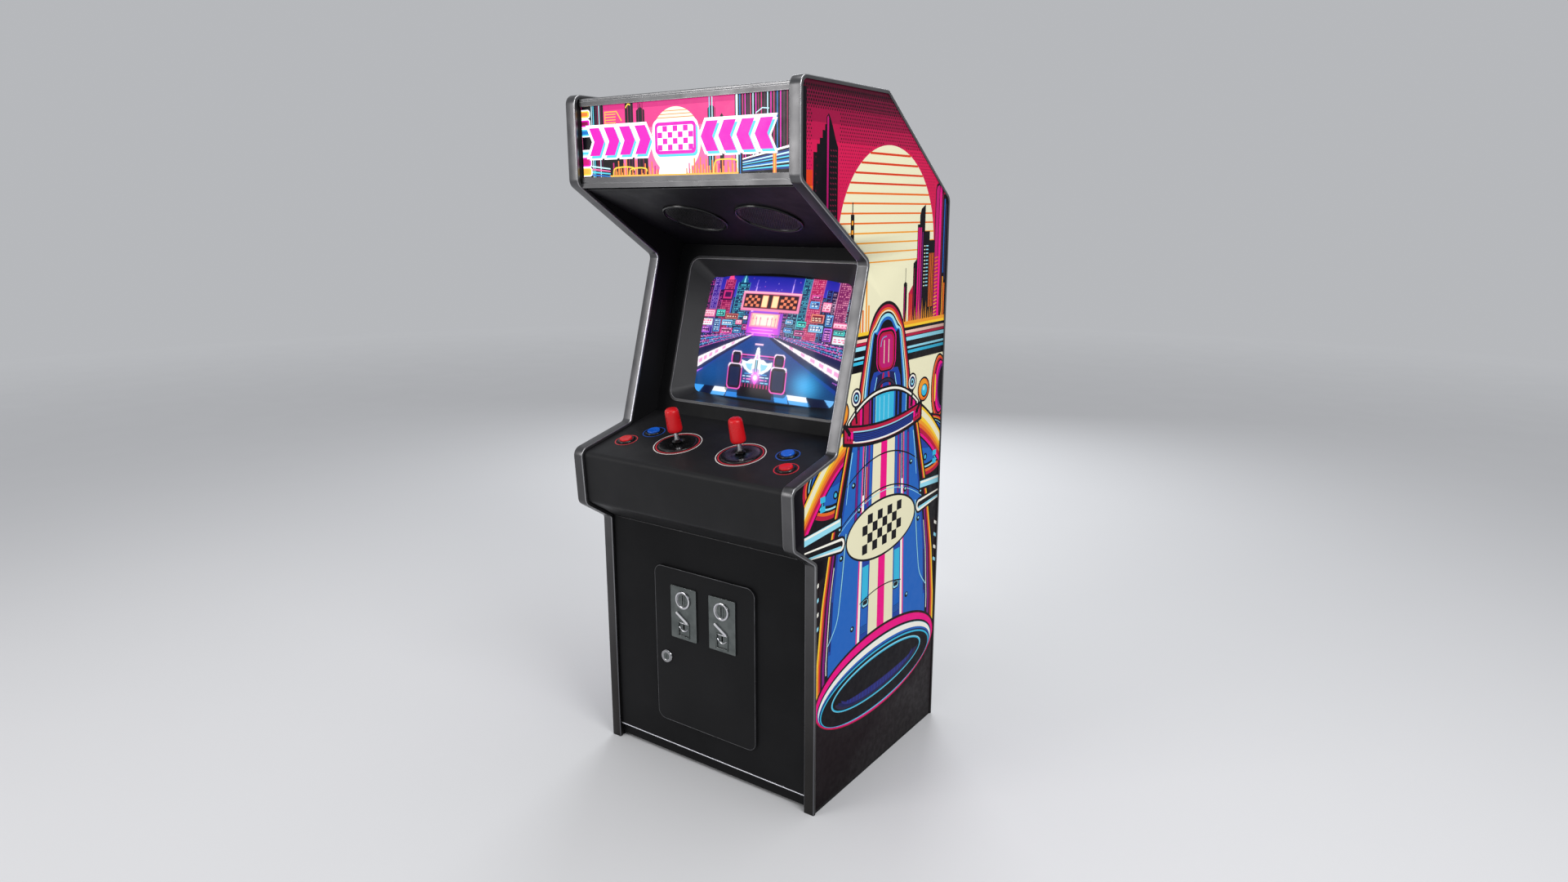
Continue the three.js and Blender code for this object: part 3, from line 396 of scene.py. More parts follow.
circuit.tint(90, (0.015, 0.09, 0.04), 0.48, 0.52).vary(60, 0.1)
tube_back = Look("tube envelope", grey(0.06), 0.25)
tube_back.tint(8, grey(0.09)).vary(12, 0.06)


# ---- making pieces --------------------------------------------------------------------------
def face_outwards(mesh):
    work = bmesh.new()
    work.from_mesh(mesh)
    bmesh.ops.recalc_face_normals(work, faces=work.faces)
    work.to_mesh(mesh)
    work.free()


def make(name, parts, base, looks, angle=32):
    """One mesh piece from parts. A part is its points in millimetres, before base moves them, its
    faces, and the number of its look or a list with one for each face."""
    points, faces, numbers = [], [], []
    for part_points, part_faces, look in parts:
        start = len(points)
        points += [base @ Vector(p) * MM for p in part_points]
        faces += [[start + i for i in face] for face in part_faces]
        numbers += look if isinstance(look, list) else [look] * len(part_faces)
    mesh = bpy.data.meshes.new(name)
    mesh.from_pydata(points, [], faces)
    for look in looks:
        mesh.materials.append(look.material)
    mesh.polygons.foreach_set("material_index", numbers)
    face_outwards(mesh)
    mesh.polygons.foreach_set("use_smooth", [True] * len(faces))
    if angle is not None:
        mesh.set_sharp_from_angle(angle=math.radians(angle))
    mesh.update()
    piece = bpy.data.objects.new(name, mesh)
    bpy.context.scene.collection.objects.link(piece)
    return piece


def add_to(piece, node):
    """A printed or added detail that rides with a node and keeps it in view."""
    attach(piece, BODY[node])
    return piece


def stand_for(piece, node):
    """The piece takes the CAD node's place: its body and its part of the view."""
    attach(piece, BODY[node])
    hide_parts(node)
    return piece


def round_edges(piece, width, segments=3, edge_look=-1, clamp=True):
    bevel = piece.modifiers.new("rounded edges", "BEVEL")
    bevel.width = width * MM
    bevel.segments = segments
    bevel.limit_method = "ANGLE"
    bevel.angle_limit = math.radians(30)
    bevel.material = edge_look
    bevel.harden_normals = True
    bevel.use_clamp_overlap = clamp
    return piece


def loft(rings, closed=False):
    """Points, and faces between rings of equal length, each ring one step further along."""
    count = len(rings[0])
    points = [p for line in rings for p in line]
    faces = []
    for k in range(len(rings) if closed else len(rings) - 1):
        low, high = k * count, (k + 1) % len(rings) * count
        for i in range(count):
            j = (i + 1) % count
            faces.append((low + i, low + j, high + j, high + i))
    return points, faces


def lathe(profile, segments=64):
    """A body turned about Z, from points (radius, height) that start and end on the axis."""
    points, rings = [], []
    for radius, height in profile:
        if radius < 1e-6:
            rings.append([len(points)])
            points.append((0, 0, height))
            continue
        rings.append(list(range(len(points), len(points) + segments)))
        for k in range(segments):
            turn = 2 * math.pi * k / segments
            points.append((radius * math.cos(turn), radius * math.sin(turn), height))
    faces = []
    for low, high in zip(rings, rings[1:]):
        for i in range(segments):
            j = (i + 1) % segments
            if len(low) == 1 and len(high) > 1:
                faces.append((low[0], high[j], high[i]))
            elif len(high) == 1 and len(low) > 1:
                faces.append((low[i], low[j], high[0]))
            elif len(low) > 1:
                faces.append((low[i], low[j], high[j], high[i]))
    return points, faces, 0


def ring(profile, segments=64):
    """A turned ring: its closed profile is (radius, height) points."""
    turns = (2 * math.pi * k / segments for k in range(segments))
    sections = [[(r * math.cos(t), r * math.sin(t), h) for r, h in profile] for t in turns]
    return *loft(sections, True), 0


def plate(outline, low, high, holes=()):
    """A plate between two heights."""
    flat, caps, owners = partition([("body", outline)] + [("hole", hole) for hole in holes])
    caps = [face for face, owner in zip(caps, owners) if owner == "body"]
    used = sorted({i for face in caps for i in face})
    index = {old: new for new, old in enumerate(used)}
    caps = [[index[i] for i in face] for face in caps]
    count = len(used)
    points = [(*flat[i], low) for i in used] + [(*flat[i], high) for i in used]
    edges = dict.fromkeys((a, b) for face in caps for a, b in zip(face, face[1:] + face[:1]))
    faces = [face[::-1] for face in caps] + [[i + count for i in face] for face in caps]
    faces += [(a, b, b + count, a + count) for a, b in edges if (b, a) not in edges]
    return points, faces, 0


def soften(node, looks, width=1.0, segments=3, edge_look=-1, clamp=True):
    """Shows a CAD node with rounded edges, whose look is the one numbered edge_look if it isn't -1."""
    mesh = frame["nodes"][node].data.copy()
    piece = bpy.data.objects.new(node + "_shell", mesh)
    bpy.context.scene.collection.objects.link(piece)
    mesh.materials.clear()
    for look in looks:
        mesh.materials.append(look.material)
    weld_and_flatten(mesh)
    mesh.polygons.foreach_set("material_index", [0] * len(mesh.polygons))
    mesh.polygons.foreach_set("use_smooth", [True] * len(mesh.polygons))
    mesh.set_sharp_from_angle(angle=math.radians(32))
    round_edges(piece, width, segments, edge_look, clamp)
    return stand_for(piece, node)


def weld_and_flatten(mesh):
    """Joins a mesh's split corners and merges the triangles of each flat face."""
    work = bmesh.new()
    work.from_mesh(mesh)
    bmesh.ops.remove_doubles(work, verts=work.verts, dist=2e-5)
    bmesh.ops.dissolve_limit(
        work, angle_limit=math.radians(0.5), verts=work.verts, edges=work.edges)
    work.to_mesh(mesh)
    work.free()
    for name in [a.name for a in mesh.attributes if a.name in ("custom_normal", "sharp_edge")]:
        mesh.attributes.remove(mesh.attributes[name])


def dress(look, node):
    """A CAD node whose shape is right gets a better material."""
    for socket in frame["nodes"][node].material_slots:
        socket.material = look.material


# ---- panels and plain metalwork -------------------------------------------------------------
def profile_outline(inset, foot=0.0, step=5.0):
    """The side profile moved inwards, with its round corners."""
    radii = []
    for i, radius in enumerate(PROFILE_RADII):
        before = Vector(PROFILE[i]) - Vector(PROFILE[i - 1])
        after = Vector(PROFILE[(i + 1) % len(PROFILE)]) - Vector(PROFILE[i])
        change = inset if before.cross(after) > 0 else -inset
        radii.append(max(radius + change, 1) if radius else 0)
    return rounded(inset_corners(inset, foot), radii, step)


def corner_arc(x, y, radius, first, steps=4):
    """Points of a quarter circle round (x, y), from the angle first in degrees."""
    turns = (math.radians(first + 90 * k / steps) for k in range(steps + 1))
    return [(x + radius * math.cos(t), y + radius * math.sin(t)) for t in turns]


def edge_trim(side, sign):
    """The metal channel round a side: its section is carried along the profile. Beside the screen its
    inner rim carries a painted highlight.
    """
    rim, lip = 2.2, 0.8
    low, high = TRIM_INNER, HALF_WIDTH
    section = (
        corner_arc(low + rim, rim, rim, 180) + corner_arc(high - rim, rim, rim, 270)
        + corner_arc(high - lip, TRIM_LIP - lip, lip, 0, 2)
        + corner_arc(high - TRIM_WALL + lip, TRIM_LIP - lip, lip, 90, 2)
        + [(high - TRIM_WALL, TRIM_WALL), (low + TRIM_WALL, TRIM_WALL)]
        + corner_arc(low + TRIM_WALL - lip, TRIM_LIP - lip, lip, 0, 2)
        + corner_arc(low + lip, TRIM_LIP - lip, lip, 90, 2))
    inner_rim, outer_rim = range(0, 4), range(5, 9)
    screen_low, screen_high = 940, 1400
    outer_line, inner_line = profile_outline(0), profile_outline(1)
    start = next(i for i, p in enumerate(outer_line) if p.y < 1e-6 and p.x < 0)
    stations = [(i + start) % len(outer_line) for i in range(len(outer_line))]
    rings, numbers = [], []
    for i in stations:
        inward = inner_line[i] - outer_line[i]
        rings.append([(sign * x, *(outer_line[i] + inward * depth)) for x, depth in section])
        # beside the screen the inner rim takes look 2, a painted highlight
        by_screen = screen_low < outer_line[i].y < screen_high
        numbers += [2 if by_screen and k in inner_rim else int(k in inner_rim or k in outer_rim)
                    for k in range(len(section))]
    points, faces = loft(rings)
    numbers = numbers[:len(faces)] + [0, 0]
    count, last = len(section), len(points) - len(section)
    faces += [list(range(count)), [last + i for i in range(count)][::-1]]
    piece = make("trim_channel_" + side, [(points, faces, numbers)], Matrix.Identity(4),
                 (gunmetal, polished_edge, painted_trim_glint), 25)
    return stand_for(piece, "edge_trim_" + side)


for side, sign in SIDES:
    edge_trim(side, sign)
    dress(charcoal, "side_panel_" + side)

PAINTED, RETAINER = (charcoal, worn_edge), (gunmetal, polished_edge)
for node, looks, *rounding in (
        ("top_panel", PAINTED, 1.5, 3, 1), ("rear_slope_panel", PAINTED, 1.5, 3, 1),
        ("rear_panel", PAINTED, 1.5, 3, 1), ("toe_board", PAINTED, 1.5, 3, 1),
        # the speaker panel's darker purple finish is a painted shade
        ("speaker_panel", (shaded_panel, worn_edge), 1.2, 3, 1),
        ("monitor_surround", PAINTED, 1.0, 3, 1), ("kick_panel", PAINTED, 1.8, 3, 1),
        ("coin_door_frame", (cast,)), ("rear_door", (door_coat, worn_edge), 0.6, 2, 1),
        ("marquee_top_retainer", RETAINER, 1.4, 4, 1, False),
        ("marquee_bottom_retainer", RETAINER, 0.5, 2, 1), ("power_inlet", (black_matt,), 0.8),
        ("monitor_chassis", (zinc,), 0.6, 2), ("cash_box", (zinc,), 1.0, 2),
        ("power_supply", (zinc,), 1.5), ("marquee_lamp_holder", (white_plastic,), 1.0, 2),
        # the coin door's rounded edges carry a painted highlight
        ("coin_door", (door_coat, painted_edge_highlight), 1.3, 4, 1)):
    soften(node, looks, *rounding)
dress(bare_board, "bottom_panel")
dress(circuit, "game_board")


def kick_highlight_strip():
    """A painted highlight: a bright strip along the foot of the kick panel, where its edge catches the
    light.
    """
    low, high, back, face = 40.6, 43.2, 269.6, 271.4
    strip = plate(box(-INNER_HALF, low, INNER_HALF, high), back, face)
    piece = make("kick_highlight_strip", [strip], FRONT, (painted_trim_glint,))
    return add_to(round_edges(piece, 0.6, 2), "kick_panel")


def door_highlight_line():
    """A painted highlight: a bright line round the coin door's face, where its edge catches the light.
    """
    line = 1.4
    outside = rounded(box(-DOOR_HALF, DOOR_LOW, DOOR_HALF, DOOR_HIGH), DOOR_RADIUS)
    inside = rounded(box(line - DOOR_HALF, DOOR_LOW + line, DOOR_HALF - line, DOOR_HIGH - line),
                     DOOR_RADIUS - line)
    edge = plate(outside, DOOR_FACE - 1.2, DOOR_FACE + 0.15, (inside,))
    piece = make("door_highlight_line", [edge], FRONT, (painted_edge_highlight,))
    return add_to(round_edges(piece, 0.45, 3), "coin_door")


kick_highlight_strip()
door_highlight_line()


def lamp_tube():
    end, radius, y, z = 280, 13, -220, 1722
    half = [(0, end), (radius - 3, end), (radius - 1, end - 2), (radius - 1, end - 14),
            (radius, end - 17)]
    profile = [(r, -h) for r, h in half] + half[::-1]
    base = Matrix.Translation((0, y, z)) @ Matrix.Rotation(math.pi / 2, 4, "Y")
    return stand_for(make("lamp_tube", [lathe(profile, 40)], base, (lamp_glass,)), "marquee_lamp")


lamp_tube()


# ---- speaker grilles and drivers --------------------------------------------------------------
GRILLE_X, GRILLE_S, GRILLE_RADIUS = 119, 198, 89


def mesh_disc(radius, pitch, hole):
    """A perforated disc: its round holes stand in a triangular pattern."""
    row_share, plain_rim = 0.866, 5
    holes = []
    rows = int(radius / (pitch * row_share)) + 1
    for row in range(-rows, rows + 1):
        for column in range(-rows, rows + 1):
            x, y = (column + (row % 2) / 2) * pitch, row * pitch * row_share
            if math.hypot(x, y) < radius - plain_rim:
                holes.append(oval(x, y, hole, steps=6))
    return plate(oval(0, 0, radius), 0.8, 1.8, holes)


GRILLE_RIM = 9
rim_profile = [(GRILLE_RADIUS - inward, height) for inward, height in (
    (GRILLE_RIM, 0.3), (0, 0.3), (0, 3.0), (0.7, 4.7), (2.4, 5.8), (4.4, 6.0), (6.4, 5.4),
    (8.2, 3.8), (GRILLE_RIM, 1.9))]
driver_profile = [
    (0, -62.3), (42, -62.3), (43, -61), (43, -45), (70, -17), (86, -15.3), (86, -12.3),
    (74, -12.3), (72, -9.8), (69, -9.2), (66, -11), (64, -12.6), (40, -22), (18, -31), (17, -29),
    (12, -26.5), (0, -25),
]
perforated = mesh_disc(GRILLE_RADIUS - GRILLE_RIM, 5.4, 2.0)
for side, sign in SIDES:
    at = seat(SPEAKER, sign * GRILLE_X, -GRILLE_S)
    rim = *ring(rim_profile, 96)[:2], 1
    grille = make("grille_" + side, [rim, perforated], at, (grille_mesh, black_gloss), 28)
    stand_for(grille, "speaker_grille_" + side)
    cone = make("driver_" + side, [lathe(driver_profile, 56)], at, (black_matt,), 28)
    stand_for(cone, "speaker_driver_" + side)


# ---- control panel ------------------------------------------------------------------------------
def deck_edge(corner):
    """Where a line along the deck from the corner meets the foot of the screen."""
    lean, rise = math.tan(SCREEN_LEAN), deck_rise.y / deck_rise.x
    y, z = corner
    stop = (SCREEN_FOOT[0] - 1 + lean * (z - rise * y - SCREEN_FOOT[1])) / (1 - lean * rise)
    return Vector((stop, z + rise * (stop - y)))


def cut(piece, holes):
    """Takes closed parts out of a piece."""
    tool = make("cutter", holes, Matrix.Identity(4), (), None)
    step = piece.modifiers.new("holes", "BOOLEAN")
    step.operation, step.object, step.solver = "DIFFERENCE", tool, "EXACT"
    bpy.context.view_layer.update()
    result = bpy.data.meshes.new_from_object(piece.evaluated_get(
        bpy.context.evaluated_depsgraph_get()))
    piece.modifiers.remove(step)
    piece.data = result
    bpy.data.objects.remove(tool)
    return piece


def deck_hole(x, s):
    radius, reach = 20, 30
    points, faces, look = lathe([(0, -reach), (radius, -reach), (radius, reach), (0, reach)])
    return [seat(DECK, x, s) @ Vector(p) for p in points], faces, look


inner = inset_corners(RECESS + SHEET)
fold_corners = [
    outer[KICK_FOOT + 1], outer[FASCIA], outer[DECK_FRONT], deck_edge(outer[DECK_FRONT]),
    deck_edge(inner[DECK_FRONT]), inner[DECK_FRONT], inner[FASCIA], inner[KICK_FOOT + 1],
]
FOLD = 15
folded = rounded(fold_corners, [0, FOLD, FOLD, 0, 0, FOLD - SHEET, FOLD - SHEET, 0], 7)
sheet_parts = plate(folded, -INNER_HALF, INNER_HALF)
panel_sheet = make("panel_sheet", [sheet_parts], ACROSS, (panel_coat, worn_edge), 20)
deck_places = list(BUTTONS.values()) + [(sign * STICK_X, STICK_S) for _, sign in SIDES]
cut(panel_sheet, [deck_hole(x, s) for x, s in deck_places])
panel_sheet.data.set_sharp_from_angle(angle=math.radians(20))
stand_for(panel_sheet, "control_panel")

housing_profile = [
    (0, -34), (19.4, -34), (19.4, 0.3), (24, 0.3), (24, 1.7), (23.5, 3.1), (22.4, 4.1),
    (20.9, 4.5), (18.7, 4.5), (18.1, 4.1), (18, 3.2), (18, -31), (0, -31),
]
plunger_profile = [
    (0, -20), (17.5, -20), (17.5, 5.6), (17.2, 6.9), (16.4, 7.7), (15.2, 8), (13.2, 7.7),
    (8, 6.9), (0, 6.5),
]
for name, (x, s) in BUTTONS.items():
    at = seat(DECK, x, s)
    housing = make("button_body_" + name, [lathe(housing_profile)], at, (black_gloss,), 40)
    stand_for(housing, "button_housing_" + name)
    cap_look = red_plastic if "red" in name else blue_plastic
    cap = make("button_cap_" + name, [lathe(plunger_profile)], at, (cap_look,), 40)
    stand_for(cap, "button_plunger_" + name)

disc_profile = [
    (13.6, 0.3), (52, 0.3), (52, 1.0), (51.4, 1.9), (50.2, 2.5), (48.8, 2.8), (14.3, 2.8),
    (13.6, 2.3),
]
shaft_profile = [
    (0, -38), (4, -38), (4, -34), (8.5, -29), (8.5, -23), (5.5, -18), (5.5, 9), (13.3, 8),
    (14, 8.3), (14, 8.9), (12.4, 9.7), (8.4, 11.6), (7, 13), (7, 15), (6.3, 17.5), (6.3, 76),
    (0, 76),
]
grip_profile = [
    (0, 76.5), (6.6, 76.5), (6.6, 36), (13.6, 36), (16.6, 36.7), (18.6, 38.6), (19.7, 41.4),
    (20, 44.5), (19.9, 50), (19.4, 62), (18.9, 76), (18.4, 90), (17.9, 94.4), (16.6, 97.8),
    (14.4, 99.9), (11, 100.8), (5, 101), (0, 101),
]


def skirted(part):
    """A stick's shaft, with everything up to the top of its dust skirt in the second look."""
    skirt_top = 13.2
    points, faces, _ = part
    return points, faces, [int(max(points[i][2] for i in face) < skirt_top) for face in faces]


for side, sign in SIDES:
    at = seat(DECK, sign * STICK_X, STICK_S)
    for name, parts, look, node, angle in (
            ("dust_disc_", ring(disc_profile, 96), black_gloss, "joystick_disc_", 60),
            ("stick_rod_", skirted(lathe(shaft_profile, 48)), steel, "joystick_shaft_", 40),
            ("stick_grip_", lathe(grip_profile, 64), red_plastic, "joystick_handle_", 50)):
        stand_for(make(name + side, [parts], at, (look, black_gloss), angle), node + side)
    soften("joystick_base_" + side, (black_matt,), 0.6, 2)
    soften("joystick_gimbal_" + side, (cast,), 0.4, 2)


# ---- screen ---------------------------------------------------------------------------------------
def round_box_point(u, v, half, radius):
    """A point of the unit square, carried onto a box whose corners are round."""
    x, y = u * half[0], v * half[1]
    dx, dy = abs(x) - (half[0] - radius), abs(y) - (half[1] - radius)
    if dx <= 0 or dy <= 0:
        return x, y
    pull = max(dx, dy) / math.hypot(dx, dy)
    return (math.copysign(half[0] - radius + dx * pull, x),
            math.copysign(half[1] - radius + dy * pull, y))


def unit_square(steps):
    """Points round the unit square, anticlockwise, with the given number on each side."""
    sides = [-1 + 2 * k / steps for k in range(steps)]
    return ([(t, -1) for t in sides] + [(1, t) for t in sides]
            + [(-t, 1) for t in sides] + [(-1, -t) for t in sides])


def bezel():
    """The raised rim round the screen, its funnel, and the funnel's foot on the domed glass. The rim's
    rounded edges carry a painted highlight.
    """
    edge = unit_square(96)

    def spot(grow, height, u, v):
        """A point of the funnel at a height, moved outwards by grow."""
        t = max(0.0, -height / PICTURE_DEPTH)
        half = [b + (p - b) * t + grow for b, p in zip(BEZEL_HALF, PICTURE_HALF)]
        radius = BEZEL_RADIUS + (PICTURE_RADIUS - BEZEL_RADIUS) * t + grow
        x, y = round_box_point(u, v, half, radius)
        return x, y + BEZEL_S + (PICTURE_S - BEZEL_S) * t, height

    def glass_line(grow):
        """Where the funnel meets the glass, found by a few steps towards it."""
        points = []
        for u, v in edge:
            height = -30.0
            for _ in range(8):
                x, y, _ = spot(0, height, u, v)
                dome = TUBE_FRONT + (x ** 2 + (y - PICTURE_S) ** 2) / (2 * TUBE_CURVE)
                height = max(-PICTURE_DEPTH - 5.0, 0.8 - dome)
            points.append(spot(grow, height, u, v))
        return points

    section = [(2.5, 0.3), (8, 0.3), (8, 1.5), (7.3, 2.2), (6.4, 2.4), (1.6, 2.4), (0.6, 2.1),
               (0.1, 1.3), (0, 0.3), (0, -12)]
    rings = [[spot(grow, height, u, v) for u, v in edge] for grow, height in section]
    points, faces = loft(rings + [glass_line(0), glass_line(2.5)], True)
    # the rounded edges of the rim carry a painted highlight
    highlight_bands = (2, 3, 5, 6)
    numbers = [int(k // len(edge) in highlight_bands) for k in range(len(faces))]
    piece = make("screen_bezel", [(points, faces, numbers)], SCREEN,
                 (bezel_plastic, bezel_highlight), 30)
    return stand_for(piece, "monitor_bezel")


# Painted highlight: a paler grey for the light caught on the bezel's rounded edges.
bezel_highlight = Look("bezel highlight", grey(0.16), 0.22)
bezel_highlight.tint(30, grey(0.12)).vary(40, 0.05)
bezel()


# ---- coin door fittings -------------------------------------------------------------------------
ENTRY_UP = 39.5


def coin_plate(side, sign):
    """A coin plate with its entry ring, its coin race behind, and the rim of its return cup."""
    at = seat(FRONT, sign * COIN_X, COIN_Z)
    back, face = COIN_FACE - 4, COIN_FACE
    slot = moved(rounded(box(-1.7, -14.5, 1.7, 14.5), 1.5, 20), 0, ENTRY_UP)
    boss_line = moved(rounded(box(-6, -18.5, 6, 18.5), 5.8, 15), 0, ENTRY_UP)
    mouth = box(-17, -65, 17, -27)
    lever_hole, entry_hole = oval(-20, -1, 3.6, steps=32), oval(0, ENTRY_UP, 16, steps=48)
    body = plate(rounded(box(-44.25, -75, 44.25, 75), 2.5, 15), back, face,
                 (mouth, lever_hole, entry_hole))
    dish = plate(oval(0, ENTRY_UP, 17.5, steps=64), face - 2, face + 1.3, (slot,))
    boss = plate(boss_line, face + 1.2, face + 2.6, (slot,))
    race = plate(box(-30, -18, 30, 66), 226, back + 0.5, (slot,))
    piece = make("coin_face_" + side, [body, dish, boss, race], at, (cast, steel))
    stand_for(round_edges(piece, 0.9, 3, 1), "coin_plate_" + side)

    ring_profile = [(radius, face + rise) for radius, rise in (
        (16.5, -1), (25, -1), (25, 2.9), (24.5, 3.9), (23.4, 4.5), (20.6, 4.5), (19.6, 4.1),
        (17.4, 2.2), (16.5, 1.0))]
    points, faces, _ = ring(ring_profile, 72)
    bright = [int(i % len(ring_profile) in (3, 4)) for i in range(len(faces))]
    entry = [(x, y + ENTRY_UP, z) for x, y, z in points], faces, bright
    rim = make("coin_entry_ring_" + side, [entry], at, (dark_chrome, steel))
    stand_for(rim, "coin_plate_" + side)

    cup_rim = plate(rounded(box(-21, -70, 21, -24), 3, 15), face - 0.5, face + 2.2,
                    (rounded(mouth, 1.5, 30),))
    piece = make("return_rim_" + side, [cup_rim], at, (cast,))
    stand_for(round_edges(piece, 0.8, 3), "coin_plate_" + side)


def return_flap(side, sign):
    """The push flap in the coin return, on its rod, with a curved lip for the finger."""
    at = seat(FRONT, sign * COIN_X, COIN_Z)
    back = COIN_FACE - 4
    half, rod_radius, rod_up = 16.2, 1.4, -29.4
    body = plate(box(-half, -64, half, -29), back + 0.8, back + 2.3,
                 (rounded(box(-3.5, -47, 1.5, -32), 1.2, 30),))
    lip_half, lip_up, sag, steps = 15.4, -51, 9.5, 12
    section = [(-2.4, 0.0), (2.4, 0.0), (2.2, 1.6), (1.2, 3.0), (0, 3.4), (-1.2, 3.0), (-2.2, 1.6)]
    rings = []
    for k in range(steps + 1):
        x = -lip_half + 2 * lip_half * k / steps
        up = lip_up + sag * (x / lip_half) ** 2
        rings.append([(x, up + dy, back + 2.0 + dz) for dy, dz in section])
    lip_points, lip_faces = loft(rings)
    count = len(section)
    lip_faces += [list(range(count))[::-1], [steps * count + i for i in range(count)]]
    rod_points, rod_faces, _ = lathe(
        [(0, -half), (rod_radius, -half), (rod_radius, half), (0, half)], 20)
    turn = Matrix.Translation((0, rod_up, back + 1.55)) @ Matrix.Rotation(math.pi / 2, 4, "Y")
    rod = [turn @ Vector(p) for p in rod_points], rod_faces, 1
    piece = make("return_flap_" + side, [body, rod, (lip_points, lip_faces, 1)], at,
                 (cast, steel), 40)
    stand_for(piece, "coin_return_flap_" + side)


def key_lock(name, node, base, rear, low, high, radius, cam):
    """A cam lock: its collar and barrel are turned, and its core has a slot for the key."""
    slot = rounded(box(-0.9, -5.5, 0.9, 5.5), 0.8, 30)
    collar = ring([
        (8.5, low), (radius, low), (radius, low + 1.2), (radius - 0.8, low + 2.6),
        (radius - 2.4, high - 0.3), (radius - 4, high), (11.5, high), (10.4, high - 0.5),
        (9.6, high - 1.4), (8.5, high - 1.6)])
    core = *plate(oval(0, 0, 9.4, steps=48), high - 3.2, high - 1.2, (slot,))[:2], 1
    barrel = lathe(
        [(0, rear), (7.6, rear), (8.5, rear + 1), (8.5, high - 3.4), (0, high - 3.4)], 48)
    tongue = plate(rounded(box(-7, -cam, 7, 7), 6, 15), rear + 2, rear + 5)
    piece = make(name, [collar, core, barrel, tongue], base, (dark_chrome, cast))
    return stand_for(piece, node)


for side, sign in SIDES:
    coin_plate(side, sign)
    return_flap(side, sign)
    soften("coin_reject_lever_" + side, (steel,), 1.1, 4)
DOOR_REAR, REAR_FACE = DOOR_FACE - 22.3, 371.3
key_lock("door_key_lock", "coin_door_lock", seat(FRONT, LOCK_X, LOCK_Z), rear=DOOR_REAR,
         low=DOOR_FACE + 0.3, high=DOOR_FACE + 5.3, radius=19.5, cam=26)
key_lock("rear_key_lock", "rear_door_lock", seat(REAR, 206, 725), rear=REAR_FACE - 30,
         low=REAR_FACE + 3.3, high=REAR_FACE + 7, radius=13, cam=40)


# ---- printing -----------------------------------------------------------------------------------
def vinyl(code):
    """A printing ink under a satin film."""
    look = Look("ink_" + code, ink_colour(code), 0.46, shine=0.07)
    return look.vary(60, 0.08).grain(700, 0.03, 0.25)


def backlit(code, strength):
    """A printing ink with light behind it."""
    colour = ink_colour(code)
    look = Look("lit_" + code, tuple(c * 0.06 for c in colour), 0.3, shine=0.2)
    return look.vary(50, 0.06).glow(colour, strength)


def printed(name, shapes, base, low, high, inks, backing):
    """A solid sheet whose front is cut into one face for each area of ink."""
    flat, caps, owners = partition(shapes)
    order = list(inks)
    count = len(flat)
    points = [(*p, low) for p in flat] + [(*p, high) for p in flat]
    edges = {(a, b) for face in caps for a, b in zip(face, face[1:] + face[:1])}
    faces = [[i + count for i in face] for face in caps]
    numbers = [order.index(owner) for owner in owners]
    rest = [face[::-1] for face in caps]
    rest += [(a, b, b + count, a + count) for a, b in edges if (b, a) not in edges]
    faces += rest
    numbers += [len(order)] * len(rest)
    return make(name, [(points, faces, numbers)], base, [*inks.values(), backing], None)


def band(y0, y1, top, bottom, steps=16):
    """The area between two curves, each a height for a place across."""
    across = [y0 + (y1 - y0) * k / steps for k in range(steps + 1)]
    return [(y, bottom(y)) for y in across] + [(y, top(y)) for y in across[::-1]]


def grown(outline, distance):
    """An outline moved outwards by a distance."""
    points = [Vector(p) for p in outline]
    if area(points) < 0:
        points.reverse()
    outer_line = []
    for i, point in enumerate(points):
        before = (point - points[i - 1]).normalized()
        after = (points[(i + 1) % len(points)] - point).normalized()
        a, b = Vector((before.y, -before.x)), Vector((after.y, -after.x))
        outer_line.append(point + (a + b) * (distance / max(0.35, 1 + a.dot(b))))
    return outer_line


def dots(x0, y0, x1, y1, pitch, radius, keep):
    """Printer's dots in staggered rows; radius gives a dot's size for its height."""
    row_share, smallest = 0.8, 0.4
    found = []
    for row in range(int((y1 - y0) / (pitch * row_share)) + 1):
        y = y0 + row * pitch * row_share
        size = radius(y)
        for column in range(int((x1 - x0) / pitch) + 1):
            x = x0 + (column + (row % 2) / 2) * pitch
            if size > smallest and keep(x, y):
                found.append(oval(x, y, size, steps=6))
    return found


def draw_all(draw, rows):
    """Draws rows of (ink, x0, y0, x1, y1) as boxes, and rows of (ink, point, point, ...) as outlines."""
    for ink, *shape in rows:
        draw(ink, shape if isinstance(shape[0], tuple) else box(*shape))


# ---- side print: (y, z) -------------------------------------------------------------------------
CAR_Y = 47
SUN_Y, SUN_Z, SUN_RADIUS = 48, 1430, 243
SHEET_HALF, SHEET_HIGH, SKY_LOW, STREET_HEIGHT = 420, 1830, 1217, 1128
SIDE_INKS = {name: vinyl(code) for name, code in {
    "night": "0d0a11", "foot": "160b10", "maroon": "46091f", "wine": "6d0d30", "garnet": "920f3d",
    "ruby": "b01246", "sky": "cb154d", "crimson": "b5123c", "magenta": "ea0182",
    "plum": "7d1276", "rose": "b8136a", "cream": "e7e2bf", "white": "f1eee2", "pink": "efc4b4",
    "ember": "d23c1a", "orange": "e2681f", "gold": "e8962a", "yellow": "f2c531",
    "cyan": "35b4d8", "ice": "93d8ea", "blue": "1f62b8", "royal": "1c3f9c", "navy": "171d52",
    "violet": "2b2a72", "slate": "2c2440",
}.items()}


